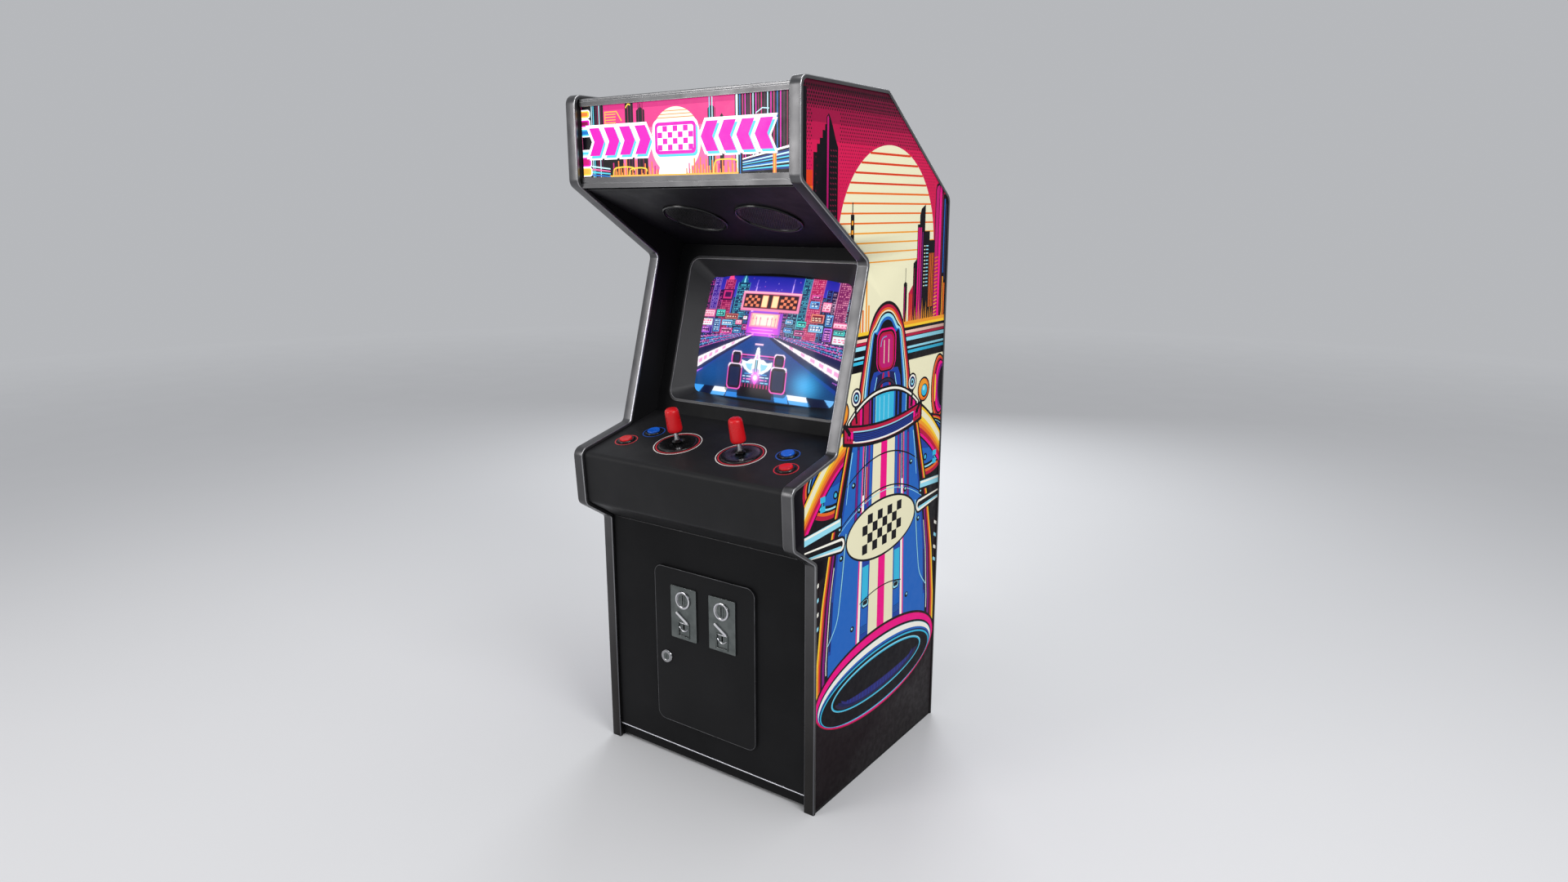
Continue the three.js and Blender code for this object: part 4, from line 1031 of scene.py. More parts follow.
def side_print():
    shapes = [("foot", profile_outline(9.3, 9))]

    def draw(ink, outline):
        shapes.append((ink, outline))

    def both(ink, outline):
        draw(ink, outline)
        draw(ink, mirrored(outline, CAR_Y))

    sky(draw)
    left_tower(draw)
    far_skyline(draw)
    right_towers(draw)
    horizon(draw)
    running_gear(both)
    body(draw, both)
    struts(both)
    cockpit(draw, both)
    wings(draw)
    mirrors(both)
    intake(draw)
    return shapes


def sky(draw):
    """Bands of red, dots between them, and a setting sun crossed by bars."""
    draw("sky", box(-SHEET_HALF, SKY_LOW, SHEET_HALF, SHEET_HIGH))
    for ink, low in (("ruby", 1668), ("garnet", 1706), ("wine", 1742), ("maroon", 1774)):
        draw(ink, box(-SHEET_HALF, low, SHEET_HALF, SHEET_HIGH))

    def open_sky(y, z):
        left_tower = -305 < y < -190 and z < 1735
        right_tower = y > 288 and z < 1600
        on_sheet = -336 < y < 381 and z < 1800 - max(0, y - 40) * 0.705
        return on_sheet and not left_tower and not right_tower and math.hypot(
            y - SUN_Y, z - SUN_Z) > SUN_RADIUS + 5

    for low, high, ink in ((1742, 1790, "night"), (1668, 1742, "maroon"), (1500, 1668, "wine")):
        for dot in dots(-340, low, 380, high - 4, 9.5, lambda z: 0.7 + 2.6 * (z - 1490) / 300,
                        open_sky):
            draw(ink, dot)
    draw_all(draw, (("night", -352, 1560, -325, 1775), ("ember", -325, 1540, -300, 1604),
                    ("orange", -325, 1540, -300, 1570)))
    draw("cream", oval(SUN_Y, SUN_Z, SUN_RADIUS, steps=128))
    draw("cream", box(-SHEET_HALF, SKY_LOW, 296, 1393))
    for k in range(12):
        z = 1651 - 23.4 * k
        half = math.sqrt(SUN_RADIUS ** 2 - (z - SUN_Z) ** 2) - 0.2
        thick = 5.4 - 0.2 * k
        ink = "ember" if k < 4 else "orange" if k < 8 else "gold"
        draw(ink, box(SUN_Y - half, z - thick / 2, SUN_Y + half, z + thick / 2))


def left_tower(draw):
    """The stepped tower at the left, and the mast standing before the sun."""
    draw("night", [
        (-298, 1440), (-298, 1642), (-284, 1642), (-284, 1660), (-273, 1660), (-273, 1673),
        (-262, 1673), (-262, 1690), (-252, 1690), (-252, 1703), (-246, 1703), (-246, 1719),
        (-237, 1727), (-229, 1716), (-221, 1702), (-208, 1674), (-197, 1655), (-197, 1440),
    ])
    draw("rose", [(-243, 1440), (-243, 1718), (-239, 1722), (-236, 1716), (-236, 1440)])
    for k in range(17):
        z = 1648 - 12 * k
        for y in (-229, -219, -209):
            draw("wine", [(y, z), (y + 6, z - 2), (y + 6, z + 1), (y, z + 3)])
    for k in range(8):
        y, z = -290 + 5 * (k % 2), 1630 - 18 * k
        draw("maroon", box(y, z, y + 4, z + 4))
    draw_all(draw, (("night", -138, 1425, -122, 1508), ("night", -132, 1508, -128, 1536)))
    for k in range(3):
        draw("gold", box(-134, 1440 + 22 * k, -126, 1450 + 22 * k))


def far_skyline(draw):
    """The low golden skyline behind the roll hoop."""
    for y, high, ink in ((-112, 1270, "orange"), (-100, 1296, "crimson"), (-90, 1318, "gold"),
                         (-78, 1280, "orange"), (-62, 1350, "gold"), (-50, 1290, "gold")):
        draw(ink, box(y, SKY_LOW, y + 7, high))
    draw("yellow", box(-125, SKY_LOW, -30, 1226))


def right_towers(draw):
    """The blocks at the right, with lit windows, and the glow along their feet."""
    foot = SKY_LOW
    draw_all(draw, (
        ("night", (130, foot), (130, 1332), (139, 1338), (148, 1332), (148, foot)),
        ("night", 138, 1338, 140.5, 1372), ("rose", 133, 1230, 136.5, 1324),
        ("crimson", (157, foot), (157, 1306), (182, 1328), (182, foot)),
        ("ember", (163, foot), (163, 1302), (168, 1306), (168, foot)),
        ("ember", (174, foot), (174, 1300), (178, 1303), (178, foot)),
        ("night", (180, foot), (180, 1382), (200, 1394), (200, foot)),
        ("wine", 184, 1225, 189, 1370),
        ("night", (210, foot), (210, 1505), (217, 1522), (240, 1533), (240, foot)),
        ("night", 198, foot, 234, 1482), ("magenta", 202, 1225, 208, 1474),
        ("rose", 211, 1225, 222, 1474), ("plum", 226, 1225, 230, 1462),
        ("night", 234, foot, 268, 1464)))
    for k in range(12):
        z = 1424 - 9.5 * k
        draw("cream", box(238, z, 245, z + 3))
        draw("ice", box(249, z, 262, z + 3))
    draw("night", box(266, foot, 300, 1440))
    for y in (269, 276.5, 284, 291):
        draw("orange", box(y, 1262, y + 3.4, 1406))
    draw_all(draw, (
        ("night", (296, foot), (296, 1572), (302, 1586), (332, 1594), (346, 1562), (346, foot)),
        ("rose", (300, foot), (300, 1570), (305, 1580), (318, 1584), (318, foot)),
        ("magenta", (321, foot), (321, 1584), (331, 1586), (334, 1576), (334, foot)),
        ("wine", (337, foot), (337, 1574), (343, 1560), (343, foot))))
    for k in range(17):
        z = 1236 + 9.6 * k
        ink = "gold" if k < 6 else "orange"
        draw(ink, [(302, z), (320, z + 3), (320, z + 6.5), (302, z + 3.5)])
    draw_all(draw, (
        ("night", 346, foot, 376, 1560), ("blue", 350, 1350, 355, 1548),
        ("slate", 359, 1330, 366, 1535), ("gold", 350, foot, 356, 1340),
        ("orange", 360, foot, 366, 1322)))
    for y, high in ((131, 1246), (141, 1262), (151, 1240), (160, 1252), (170, 1266), (181, 1248),
                    (191, 1272), (201, 1255), (211, 1284), (222, 1260), (232, 1290), (243, 1268),
                    (254, 1282), (265, 1258), (276, 1276), (287, 1262), (298, 1250), (345, 1244)):
        draw("gold", [(y, foot), (y + 3.5, high), (y + 7, foot)])
    draw_all(draw, (("gold", 125, foot, 380, 1233), ("yellow", 125, foot, 380, 1224)))


def horizon(draw):
    """The lit street behind the car, over the pale and the dark ground."""
    draw("cream", box(-SHEET_HALF, 960, SHEET_HALF, 1130))
    for ink, low, high in (("night", STREET_HEIGHT, SKY_LOW), ("pink", 1201, 1209),
                           ("crimson", 1193, 1200), ("ice", 1181, 1191), ("ice", 1160, 1166),
                           ("cyan", 1147, 1155), ("night", 640, 960)):
        draw(ink, box(-SHEET_HALF, low, SHEET_HALF, high))


def running_gear(both):
    """The rear wheels beyond the mirrors, the front wheels, and the arms from the body over them."""
    for ink, dy, rx, rz in (("night", 0, 46, 96), ("orange", 0, 41, 90), ("crimson", 3, 38, 84),
                            ("night", 6, 34, 79), ("magenta", 8, 30, 74), ("plum", 16, 27, 66),
                            ("night", 22, 25, 58), ("yellow", -21, 5, 40)):
        both(ink, oval(352 + dy, 1030, rx, rz, 48))
    for ink, dy, dz, rx, rz in (
            ("night", 0, 0, 134, 92), ("crimson", 0, 2, 126, 85), ("orange", -3, 6, 119, 79),
            ("yellow", -8, 12, 112, 72), ("night", -2, 8, 112, 73), ("ice", -4, 8, 106, 68),
            ("night", -6, 10, 104, 65), ("blue", -8, 12, 98, 60), ("royal", 4, 30, 74, 34)):
        both(ink, oval(302 + dy, 866 + dz, rx, rz, 64))
    for k in range(9):
        y, z = 256 + 9 * k, 924 - 5.5 * k
        both("ice" if k % 2 else "navy", ribbon([(y, z), (y + 20, z - 30)], 2.6))
    for ink, radius in (("night", 11), ("cyan", 6)):
        both(ink, oval(284, 838, radius, steps=24))
        both(ink, oval(344, 828, radius * 0.8, steps=24))
    drop = [(215, 0), (262, 22), (318, 60), (372, 110), (420, 162)]
    for ink, high, low in (("night", 1014, 916), ("yellow", 1006, 952), ("cream", 998, 980),
                           ("gold", 966, 954), ("orange", 955, 944), ("crimson", 944, 932),
                           ("magenta", 930, 922)):
        upper = smooth([(y, high - fall) for y, fall in drop], 6)
        under = smooth([(y, low - fall * 1.05) for y, fall in drop], 6)
        both(ink, upper + under[::-1])


def struts(both):
    """Struts and exhausts beside the body."""
    for ink, grow in (("night", 6), ("ice", 0)):
        both(ink, [(258 - grow, 752 - grow), (420, 742 - grow), (420, 764 + grow),
                   (258 - grow, 772 + grow)])
    both("white", [(262, 764), (420, 757), (420, 763), (262, 770)])
    for low in (808, 832):
        both("cyan", box(330, low, 352, low + 15))
    for ink, width, tip, drop in (("night", 46, 34, 0), ("white", 34, 22, 0),
                                  ("night", 18, 12, 1), ("ice", 7, 4, -7)):
        both(ink, ribbon([(256, 702 + drop), (420, 716 + drop)], width, tip))
        both(ink, oval(256, 702 + drop, width / 2, steps=32))
    for k in range(4):
        z = 632 - 38 * k
        both("ice" if k % 2 else "white", [(356, z), (400, z - 22), (400, z - 32), (356, z - 10)])


def cockpit(draw, both):
    """The roll hoop and the empty seat in it: head rest, shoulders, belts and wheel."""
    def hoop(inset):
        """The hoop's outline, closed along the body."""
        top, half = 1294 - inset, 140 - inset
        side = [(half, 1040), (half * 0.96, 1084), (half * 0.83, 1150), (half * 0.68, 1214),
                (half * 0.50, top - 34), (half * 0.26, top - 8), (0, top)]
        whole = [(CAR_Y + y, z) for y, z in side] + [(CAR_Y - y, z) for y, z in side[-2::-1]]
        return smooth(whole, 8)

    for ink, inset in (("night", 0), ("crimson", 8), ("orange", 16), ("cream", 22), ("night", 26),
                       ("ice", 31), ("blue", 39), ("night", 47)):
        draw(ink, hoop(inset))
    both("royal", [(CAR_Y + 88, 1040), (CAR_Y + 76, 1096), (CAR_Y + 62, 1118), (CAR_Y, 1122),
                   (CAR_Y, 1040)])
    for ink, half, low, high in (("magenta", 50, 1114, 1226), ("night", 46, 1114, 1221),
                                 ("crimson", 41, 1118, 1216), ("rose", 34, 1124, 1209)):
        draw(ink, rounded(box(CAR_Y - half, low, CAR_Y + half, high), half * 0.6, 12))
    both("cream", ribbon([(CAR_Y + 12, 1136), (CAR_Y + 12, 1196)], 3.2))
    glint = smooth([(CAR_Y - 30, 1180), (CAR_Y - 22, 1200), (CAR_Y, 1205)])
    draw("cyan", ribbon(glint, 3, 1.6))
    both("navy", [(CAR_Y + 20, 1040), (CAR_Y + 20, 1112), (CAR_Y + 44, 1108), (CAR_Y + 60, 1040)])
    both("ice", ribbon([(CAR_Y + 46, 1104), (CAR_Y + 66, 1046)], 3.2))
    both("crimson", ribbon([(CAR_Y + 12, 1112), (CAR_Y + 30, 1046)], 8))
    rim = [(CAR_Y + 58 * math.cos(t / 20 * math.pi), 1046 + 46 * math.sin(t / 20 * math.pi))
           for t in range(21)]
    draw("night", ribbon(rim, 13))
    draw("slate", ribbon(rim, 7))

def wings(draw):
    """The two bowed wings across the car, with blocks of colour on the upper one."""
    def top(y):
        return 1068 - 58 * (abs(y - CAR_Y) / 178) ** 2.3

    def low(y):
        return 978 + 16 * (abs(y - CAR_Y) / 178) ** 2

    def sill(y):
        return low(y) - 10

    def hem(y):
        return 938 + 24 * (abs(y - CAR_Y) / 205) ** 2

    def between(ink, y0, y1, upper, up, lower, down, steps=40):
        """The area between two curves, each lifted by an amount."""
        draw(ink, band(CAR_Y + y0, CAR_Y + y1, lambda y: upper(y) + up, lambda y: lower(y) + down,
                       steps))

    for ink, half, up, down in (("night", 190, 8, -8), ("white", 182, 2, -3), ("night", 177, -4, 2)):
        between(ink, -half, half, top, up, low, down)
    for ink, y0, y1 in (("crimson", -166, -120), ("magenta", -126, -116), ("ruby", -108, -84),
                        ("plum", -80, -72), ("blue", -62, -54), ("ice", -50, -46),
                        ("cyan", -46, 46), ("blue", 46, 54), ("royal", 66, 74), ("blue", 90, 112),
                        ("ice", 112, 116), ("rose", 130, 148), ("magenta", 152, 166)):
        between(ink, y0, y1, top, -10, low, 5, 6)
    for y in (-30, -8, 16):
        between("ice", y, y + 3, top, -16, low, 10, 2)
    for ink, half, upper, up, lower, down in (
            ("night", 207, sill, 18, hem, -9), ("crimson", 199, sill, 12, hem, 0),
            ("magenta", 188, sill, 2, hem, 12), ("navy", 158, sill, 1, hem, 3),
            ("ice", 158, sill, 3, sill, 0), ("white", 158, hem, 6, hem, 1)):
        between(ink, -half, half, upper, up, lower, down)
    for k in range(5):
        between("royal", -152, 152, sill, -5 - 4.4 * k, sill, -6.8 - 4.4 * k)
    for y in (-186, -174, 170, 182):
        between("night", y, y + 4, sill, -4, hem, 6, 2)


def mirrors(both):
    """Two round mirrors at each side, on stalks."""
    for ink, radius in (("night", 25), ("white", 20), ("navy", 15), ("ice", 9), ("night", 5)):
        both(ink, oval(CAR_Y + 146, 1066, radius, steps=40))
    for ink, dy, dz, radius in (("night", 0, 0, 35), ("orange", 0, 0, 30), ("gold", -2, 3, 26),
                                ("night", 5, -4, 19), ("cyan", 4, -3, 16), ("ice", 1, 3, 7)):
        both(ink, oval(CAR_Y + 214 + dy, 1036 + dz, radius, steps=40))
    both("night", ribbon([(CAR_Y + 150, 1044), (CAR_Y + 142, 1000)], 9))
    both("night", ribbon([(CAR_Y + 200, 1006), (CAR_Y + 172, 976)], 12))


BODY_HALF = ((250, 316), (290, 320), (400, 318), (560, 296), (720, 258), (880, 206), (962, 178))


def body_half(z):
    for (z0, w0), (z1, w1) in zip(BODY_HALF, BODY_HALF[1:]):
        if z <= z1:
            return w0 + (w1 - w0) * (z - z0) / (z1 - z0)
    return BODY_HALF[-1][1]


def hull(inset, low=262, high=962, squeeze=0.0):
    """The body's outline, inset by an amount that shrinks towards its far end."""
    levels = [low + (high - low) * k / 24 for k in range(25)]
    right = [(CAR_Y + body_half(z) - inset * (1 - squeeze * (z - low) / (high - low)), z)
             for z in levels]
    return right + [(2 * CAR_Y - y, z) for y, z in right[::-1]]


def side_strip(outer_inset, inner_inset, low, high, squeeze=0.55):
    """A strip along the right edge of the body."""
    levels = [low + (high - low) * k / 16 for k in range(17)]
    fade = [1 - squeeze * (z - 262) / 700 for z in levels]
    return ([(CAR_Y + body_half(z) - outer_inset * f, z) for z, f in zip(levels, fade)]
            + [(CAR_Y + body_half(z) - inner_inset * f, z)
               for z, f in zip(levels[::-1], fade[::-1])])


def stripe(y0, y1, low, high):
    """A stripe along the bonnet, between two distances from its middle, narrower further up."""
    near, far = (1.04 - 0.20 * (z - 300) / 660 for z in (low, high))
    return [(CAR_Y + y0 * near, low), (CAR_Y + y1 * near, low),
            (CAR_Y + y1 * far, high), (CAR_Y + y0 * far, high)]


def seam(draw, ink, height, drop, half, width):
    """A line across the body that bows down by drop at its ends."""
    def middle(y):
        return height - drop * ((y - CAR_Y) / half) ** 2

    draw(ink, band(CAR_Y - half, CAR_Y + half, lambda y: middle(y) + width / 2,
                   lambda y: middle(y) - width / 2, 32))


def body(draw, both):
    """The car's body: its edge, the bonnet's stripes and seams, blisters, vents and roundel."""
    draw("night", hull(-7))
    for ink, inset in (("yellow", 0), ("orange", 8), ("crimson", 15), ("night", 22)):
        draw(ink, hull(inset, squeeze=0.55))
    both("plum", side_strip(30, 42, 300, 690))
    both("white", side_strip(48, 52, 370, 650))
    draw("blue", hull(60, squeeze=0.6))
    both("royal", side_strip(62, 74, 420, 900, 0.6))
    both("navy", side_strip(62, 70, 430, 560, 0.6))
    for pen, ink, *edges in (
            (draw, "magenta", -128, 128, 342, 960), (draw, "white", -122, 122, 342, 960),
            (draw, "royal", -110, 110, 342, 960), (both, "cyan", 73, 106, 500, 608),
            (both, "blue", 73, 106, 420, 500), (both, "blue", 72, 84, 770, 960),
            (both, "plum", 86, 94, 770, 960), (both, "orange", 97, 104, 780, 878),
            (draw, "cream", -67, 67, 342, 960), (draw, "magenta", -19, 19, 342, 960),
            (both, "navy", 112, 121, 805, 960), (both, "violet", 146, 162, 690, 950),
            (both, "plum", 150, 158, 720, 930)):
        pen(ink, stripe(*edges))
    for row in (("night", 897, 52, 186, 4), ("night", 803, 66, 222, 4), ("ice", 794, 66, 222, 2),
                ("night", 525, 16, 112, 3.4), ("night", 405, 62, 278, 4)):
        seam(draw, *row)
    for width, ink in ((9, "navy"), (4.5, "ice")):
        both(ink, ribbon(smooth([(232, 724), (243, 640), (256, 560), (272, 496), (312, 448)], 10),
                         width, 3))
    both("ice", ribbon(smooth([(CAR_Y + 160, 930), (CAR_Y + 176, 860), (CAR_Y + 186, 800)]), 4, 2))
    for ink, grow in (("night", 3.4), ("ice", 0)):
        both(ink, grown(rounded(box(CAR_Y + 68, 494, CAR_Y + 98, 512), 8, 20), grow))
    both("night", rounded(box(CAR_Y + 71, 499, CAR_Y + 95, 511), 5.5, 20))
    for k in range(5):
        both("night", stripe(74, 106, 420 + 5 * k, 421.6 + 5 * k))
    for y, z in ((152, 842), (214, 742), (206, 664), (148, 452), (122, 770)):
        both("night", oval(CAR_Y + y, z, 9.5, 8, 24))
        both("ice", oval(CAR_Y + y + 1.5, z + 1.5, 4, 3.4, 16))
    # the chequered roundel in place of a number
    middle, square = 694, 26
    for ink, grow in (("night", 6), ("cream", 0)):
        draw(ink, oval(CAR_Y, middle, 180 + grow, 76 + grow, 96))
    for column in range(8):
        for row in range(4):
            if (column + row) % 2 == 0:
                y, z = CAR_Y + (column - 4) * square, middle + (row - 2) * square
                draw("night", box(y, z, y + square, z + square))


def intake(draw):
    """The round nose: rings of colour, crescents of shade, and a row of blades."""
    for ink, z, rx, rz in (
            ("night", 285, 330, 126), ("crimson", 285, 323, 119), ("magenta", 286, 320, 117),
            ("night", 277, 312, 104), ("ice", 274, 309, 100), ("white", 275, 306, 98),
            ("blue", 266, 304, 90), ("navy", 263, 302, 86), ("cyan", 261, 298, 84),
            ("night", 259, 293, 81), ("ice", 272, 245, 60), ("cyan", 271, 243, 58),
            ("night", 271, 238, 54)):
        draw(ink, oval(CAR_Y, z, rx, rz, 96))
    middle = 268
    for ink, rx, rz, lift in (("slate", 226, 49, 44), ("navy", 212, 45, 34), ("violet", 196, 41, 20)):
        turns = (math.pi + math.pi * k / 32 for k in range(33))
        lower = [(CAR_Y + rx * math.cos(t), middle + rz * math.sin(t)) for t in turns]
        across = (1 - 2 * k / 16 for k in range(1, 16))
        upper = [(CAR_Y + rx * a, middle - rz * 0.5 + lift * a ** 2 / 2) for a in across]
        draw(ink, lower + upper)
    for k in range(22):
        y = CAR_Y - 168 + 16 * k
        reach = math.sqrt(max(0, 1 - ((y - CAR_Y) / 190) ** 2))
        low, high = middle - 40 * reach, middle - 23 * reach
        draw("royal", [(y, low), (y + 2.4, low), (y + 4.4, high), (y + 2, high)])


side_shapes = side_print()
for side, sign in SIDES:
    place = Matrix.Scale(sign, 4, (1, 0, 0)) @ ACROSS
    back = HALF_WIDTH - TRIM_WALL
    sheet = printed("side_print_" + side, side_shapes, place, back, back + 1, SIDE_INKS,
                    white_plastic)
    stand_for(sheet, "side_art_" + side)


# ---- marquee: (x, z) ----------------------------------------------------------------------------
MARQUEE_INKS = {name: backlit(code, strength) for name, (code, strength) in {
    "sky": ("ff3f97", 0.95), "haze": ("ff74b4", 1.0), "night": ("17121f", 0.35),
    "plum": ("6b1556", 0.7), "wine": ("a5205c", 0.8), "rose": ("e8288a", 0.9),
    "magenta": ("ff14cc", 1.0), "cyan": ("5fe4ff", 1.0), "blue": ("2c86e0", 0.9),
    "royal": ("1c3f98", 0.8), "white": ("fffcff", 1.6), "cream": ("fff2d8", 1.25),
    "gold": ("ffbf52", 1.1), "orange": ("ff8a45", 1.05), "yellow": ("ffe04a", 1.1),
    "ice": ("c4f2ff", 1.2),
}.items()}
GLASS_LOW, GLASS_HIGH = 1575.8, 1785.0
STREET_LOW, SKY_HIGH = 1592.8, 1775.7
SIGN_SUN_X, SIGN_SUN_Z, SIGN_SUN_RADIUS = -15, 1677, 78


def marquee_print():
    shapes = [("night", box(-LIP_HALF, GLASS_LOW, LIP_HALF, GLASS_HIGH))]

    def draw(ink, outline):
        shapes.append((ink, outline))

    marquee_sky(draw)
    marquee_towers(draw)
    street_lights(draw)
    speed_signs(draw)
    emblem(draw)
    return shapes


def marquee_sky(draw):
    """A pink sky with a striped sun, and the white gate before it."""
    for ink, low, high in (("sky", STREET_LOW, SKY_HIGH), ("haze", STREET_LOW, 1712),
                           ("rose", 1758, SKY_HIGH)):
        draw(ink, box(-LIP_HALF, low, LIP_HALF, high))
    draw("cream", oval(SIGN_SUN_X, SIGN_SUN_Z, SIGN_SUN_RADIUS, steps=80))
    for k in range(8):
        z = 1746 - 7.5 * k
        half = math.sqrt(SIGN_SUN_RADIUS ** 2 - (z - SIGN_SUN_Z) ** 2) - 0.3
        draw("orange", box(SIGN_SUN_X - half, z - 0.9, SIGN_SUN_X + half, z + 0.9))
    draw("white", [(-72, STREET_LOW), (-60, 1650), (-40, 1682), (12, 1682), (28, 1650),
                   (38, STREET_LOW)])


def marquee_towers(draw):
    """Dark towers with gabled tops and two masts, and the lit lines down them."""
    foot = STREET_LOW
    for x0, x1, high in ((-326, -250, 1780), (-176, -149, 1780), (-139, -112, 1752),
                         (-112, -104, 1700), (-240, -186, 1640), (84, 107, 1745),
                         (119, 131, 1725), (163, 328, 1780), (-326, -236, 1650)):
        draw("night", [(x0, foot), (x0, high), ((x0 + x1) / 2, high + 8), (x1, high), (x1, foot)])
    draw_all(draw, (("night", 94, 1740, 97, 1768), ("night", -127, 1752, -124.5, 1768)))
    for x, ink in ((-292, "ice"), (-286, "cyan"), (-277, "plum"), (-271, "wine"), (-266, "ice"),
                   (-260, "plum"), (-168, "wine"), (-158, "plum"), (-133, "plum"), (-120, "wine"),
                   (88, "cyan"), (96, "ice"), (103, "rose"), (166, "white"), (169, "ice"),
                   (176, "blue"), (184, "rose"), (191, "magenta"), (199, "plum"), (206, "rose"),
                   (213, "ice"), (221, "magenta"), (228, "wine"), (236, "rose"), (245, "plum"),
                   (253, "ice"), (262, "magenta"), (270, "rose"), (279, "blue"), (288, "magenta"),
                   (297, "plum"), (306, "wine"), (315, "blue")):
        draw(ink, box(x, foot, x + 2.6, SKY_HIGH))


def street_lights(draw):
    """A golden board at the left, and the lights and arches along the street."""
    foot = STREET_LOW
    for k in range(5):
        draw("gold", box(-243, 1720 + 6.6 * k, -208, 1722.4 + 6.6 * k))
    draw("gold", [(-246, 1716), (-243, 1716), (-243, 1752), (-206, 1752), (-190, 1730),
                  (-187, 1732), (-204, 1755), (-246, 1755)])
    draw("yellow", ribbon(smooth([(-174, 1760), (-166, 1768), (-158, 1766)]), 3))
    for x, height in ((-222, 40), (-214, 30), (-205, 44), (-196, 26), (-187, 38), (-178, 48),
                      (-168, 30), (-158, 24), (-146, 44), (-128, 22), (-116, 36), (-104, 28),
                      (-94, 40), (-84, 30), (-76, 22), (16, 22), (24, 34), (32, 28), (40, 44),
                      (49, 32), (58, 46), (67, 30), (76, 42), (85, 26), (94, 38), (104, 48),
                      (114, 30), (124, 40), (140, 34), (152, 46), (164, 30)):
        draw("orange" if x % 3 else "rose", box(x, foot, x + 3.8, foot + height))
        draw("gold", box(x + 4.2, foot, x + 6.2, foot + height * 0.62))
    draw("gold", box(-236, foot, 172, foot + 10))
    for x0, x1, z in ((-222, -150, 1622), (-168, -108, 1619), (100, 168, 1632)):
        arch = [(x0, 1601), (x0 + 5, z - 4), ((x0 + x1) / 2, z), (x1 - 5, z - 2), (x1, z - 9)]
        draw("yellow", ribbon(smooth(arch), 3.2))


def speed_signs(draw):
    """Rounded signs with streaks at the left, and a fan of speed lines at the right."""
    for z0, z1, ink, core in ((1604, 1622, "yellow", "gold"), (1626, 1648, "magenta", "rose"),
                              (1652, 1664, "ice", "cyan"), (1700, 1716, "cyan", "blue"),
                              (1722, 1738, "magenta", "wine"), (1744, 1760, "yellow", "orange")):
        draw("white", rounded(box(-340, z0 - 2.5, -296, z1 + 2.5), 8, 15))
        draw(ink, rounded(box(-338, z0, -299, z1), 6, 15))
        draw(core, rounded(box(-336, z0 + 3.5, -305, z1 - 3.5), 2, 30))
    for k, ink in enumerate(("ice", "haze", "cyan", "blue")):
        left, right = 1628 - 7 * k, 1620 - 6 * k
        draw(ink, [(-296, left), (-232, right), (-232, right - 3), (-296, left - 4)])
    for ink, drop in (("white", 0), ("night", 5), ("royal", 9), ("ice", 14), ("royal", 18),
                      ("cyan", 23), ("night", 26), ("blue", 30), ("ice", 35), ("night", 38),
                      ("cyan", 43), ("royal", 47), ("night", 52)):
        draw(ink, [(184, 1632 - drop * 0.55), (328, 1660 - drop), (328, STREET_LOW),
                   (184, STREET_LOW)])
    draw_all(draw, (("orange", 268, STREET_LOW, 278, 1642), ("gold", 271, STREET_LOW, 274, 1640)))
    draw("ice", ribbon([(222, 1728), (240, 1738), (258, 1736)], 2.4))


def emblem(draw):
    """A chequered badge between chevrons, in place of a title."""
    low, high = 1651, 1718
    middle = (low + high) / 2
    marks = []
    for x in range(-302, -145, 52):
        marks.append([(x, low), (x + 35, low), (x + 52, middle), (x + 35, high), (x, high),
                      (x + 17, middle)])
    marks += [mirrored(mark, -16) for mark in marks]
    marks.append(rounded(box(-80, low - 3, 48, high + 3), 12, 15))
    for ink, grow, dx, dy in (("white", 7, 0, 0), ("white", 4, 5, -6), ("cyan", 0, 5, -6),
                              ("magenta", 0, 0, 0)):
        for mark in marks:
            draw(ink, moved(grown(mark, grow) if grow else mark, dx, dy))
    draw("white", rounded(box(-72, low + 5, 40, high - 5), 6, 30))
    for column in range(7):
        for row in range(4):
            if (column + row) % 2 == 0:
                x, z = -72 + 16 * column, low + 5 + 14.25 * row
                draw("magenta", box(x + 0.6, z + 0.6, x + 15.4, z + 13.6))


glass_y = PROFILE[0][0] + 15 + 8.3
marquee = printed("marquee_print_sheet", marquee_print(), FRONT, -glass_y - 3, -glass_y,
                  MARQUEE_INKS, white_plastic)
stand_for(marquee, "marquee_glass")


# ---- rings printed on the deck ------------------------------------------------------------------
def deck_ring(name, x, s, radius, width, look):
    profile = [(radius - width / 2, 0.02), (radius + width / 2, 0.02),
               (radius + width / 2, 0.25), (radius - width / 2, 0.25)]
    add_to(make(name, [ring(profile, 96)], seat(DECK, x, s), (look,), 30), "control_panel")


ring_red = Look("ring_red", ink_colour("c4202e"), 0.45).vary(60, 0.08)
ring_white = Look("ring_white", ink_colour("e2d8d4"), 0.45).vary(60, 0.08)
ring_blue = Look("ring_blue", ink_colour("1d4ea8"), 0.45).vary(60, 0.08)
for side, sign in SIDES:
    deck_ring("stick_ring_white_" + side, sign * STICK_X, STICK_S, 65, 2.6, ring_white)
    deck_ring("stick_ring_red_" + side, sign * STICK_X, STICK_S, 58.5, 3.2, ring_red)
for name, (x, s) in BUTTONS.items():
    deck_ring("button_ring_" + name, x, s, 30.5, 2.8, ring_red if "red" in name else ring_blue)


# ---- picture on the tube: (x, s), across and up the glass ---------------------------------------
VANISH_X, VANISH_S = -12.0, 262.0
WINDOW_LIGHTS = ("25b8ff", "ff4fc0", "9fe8ff", "ff86d6", "4f8dff", "ffd0f4")


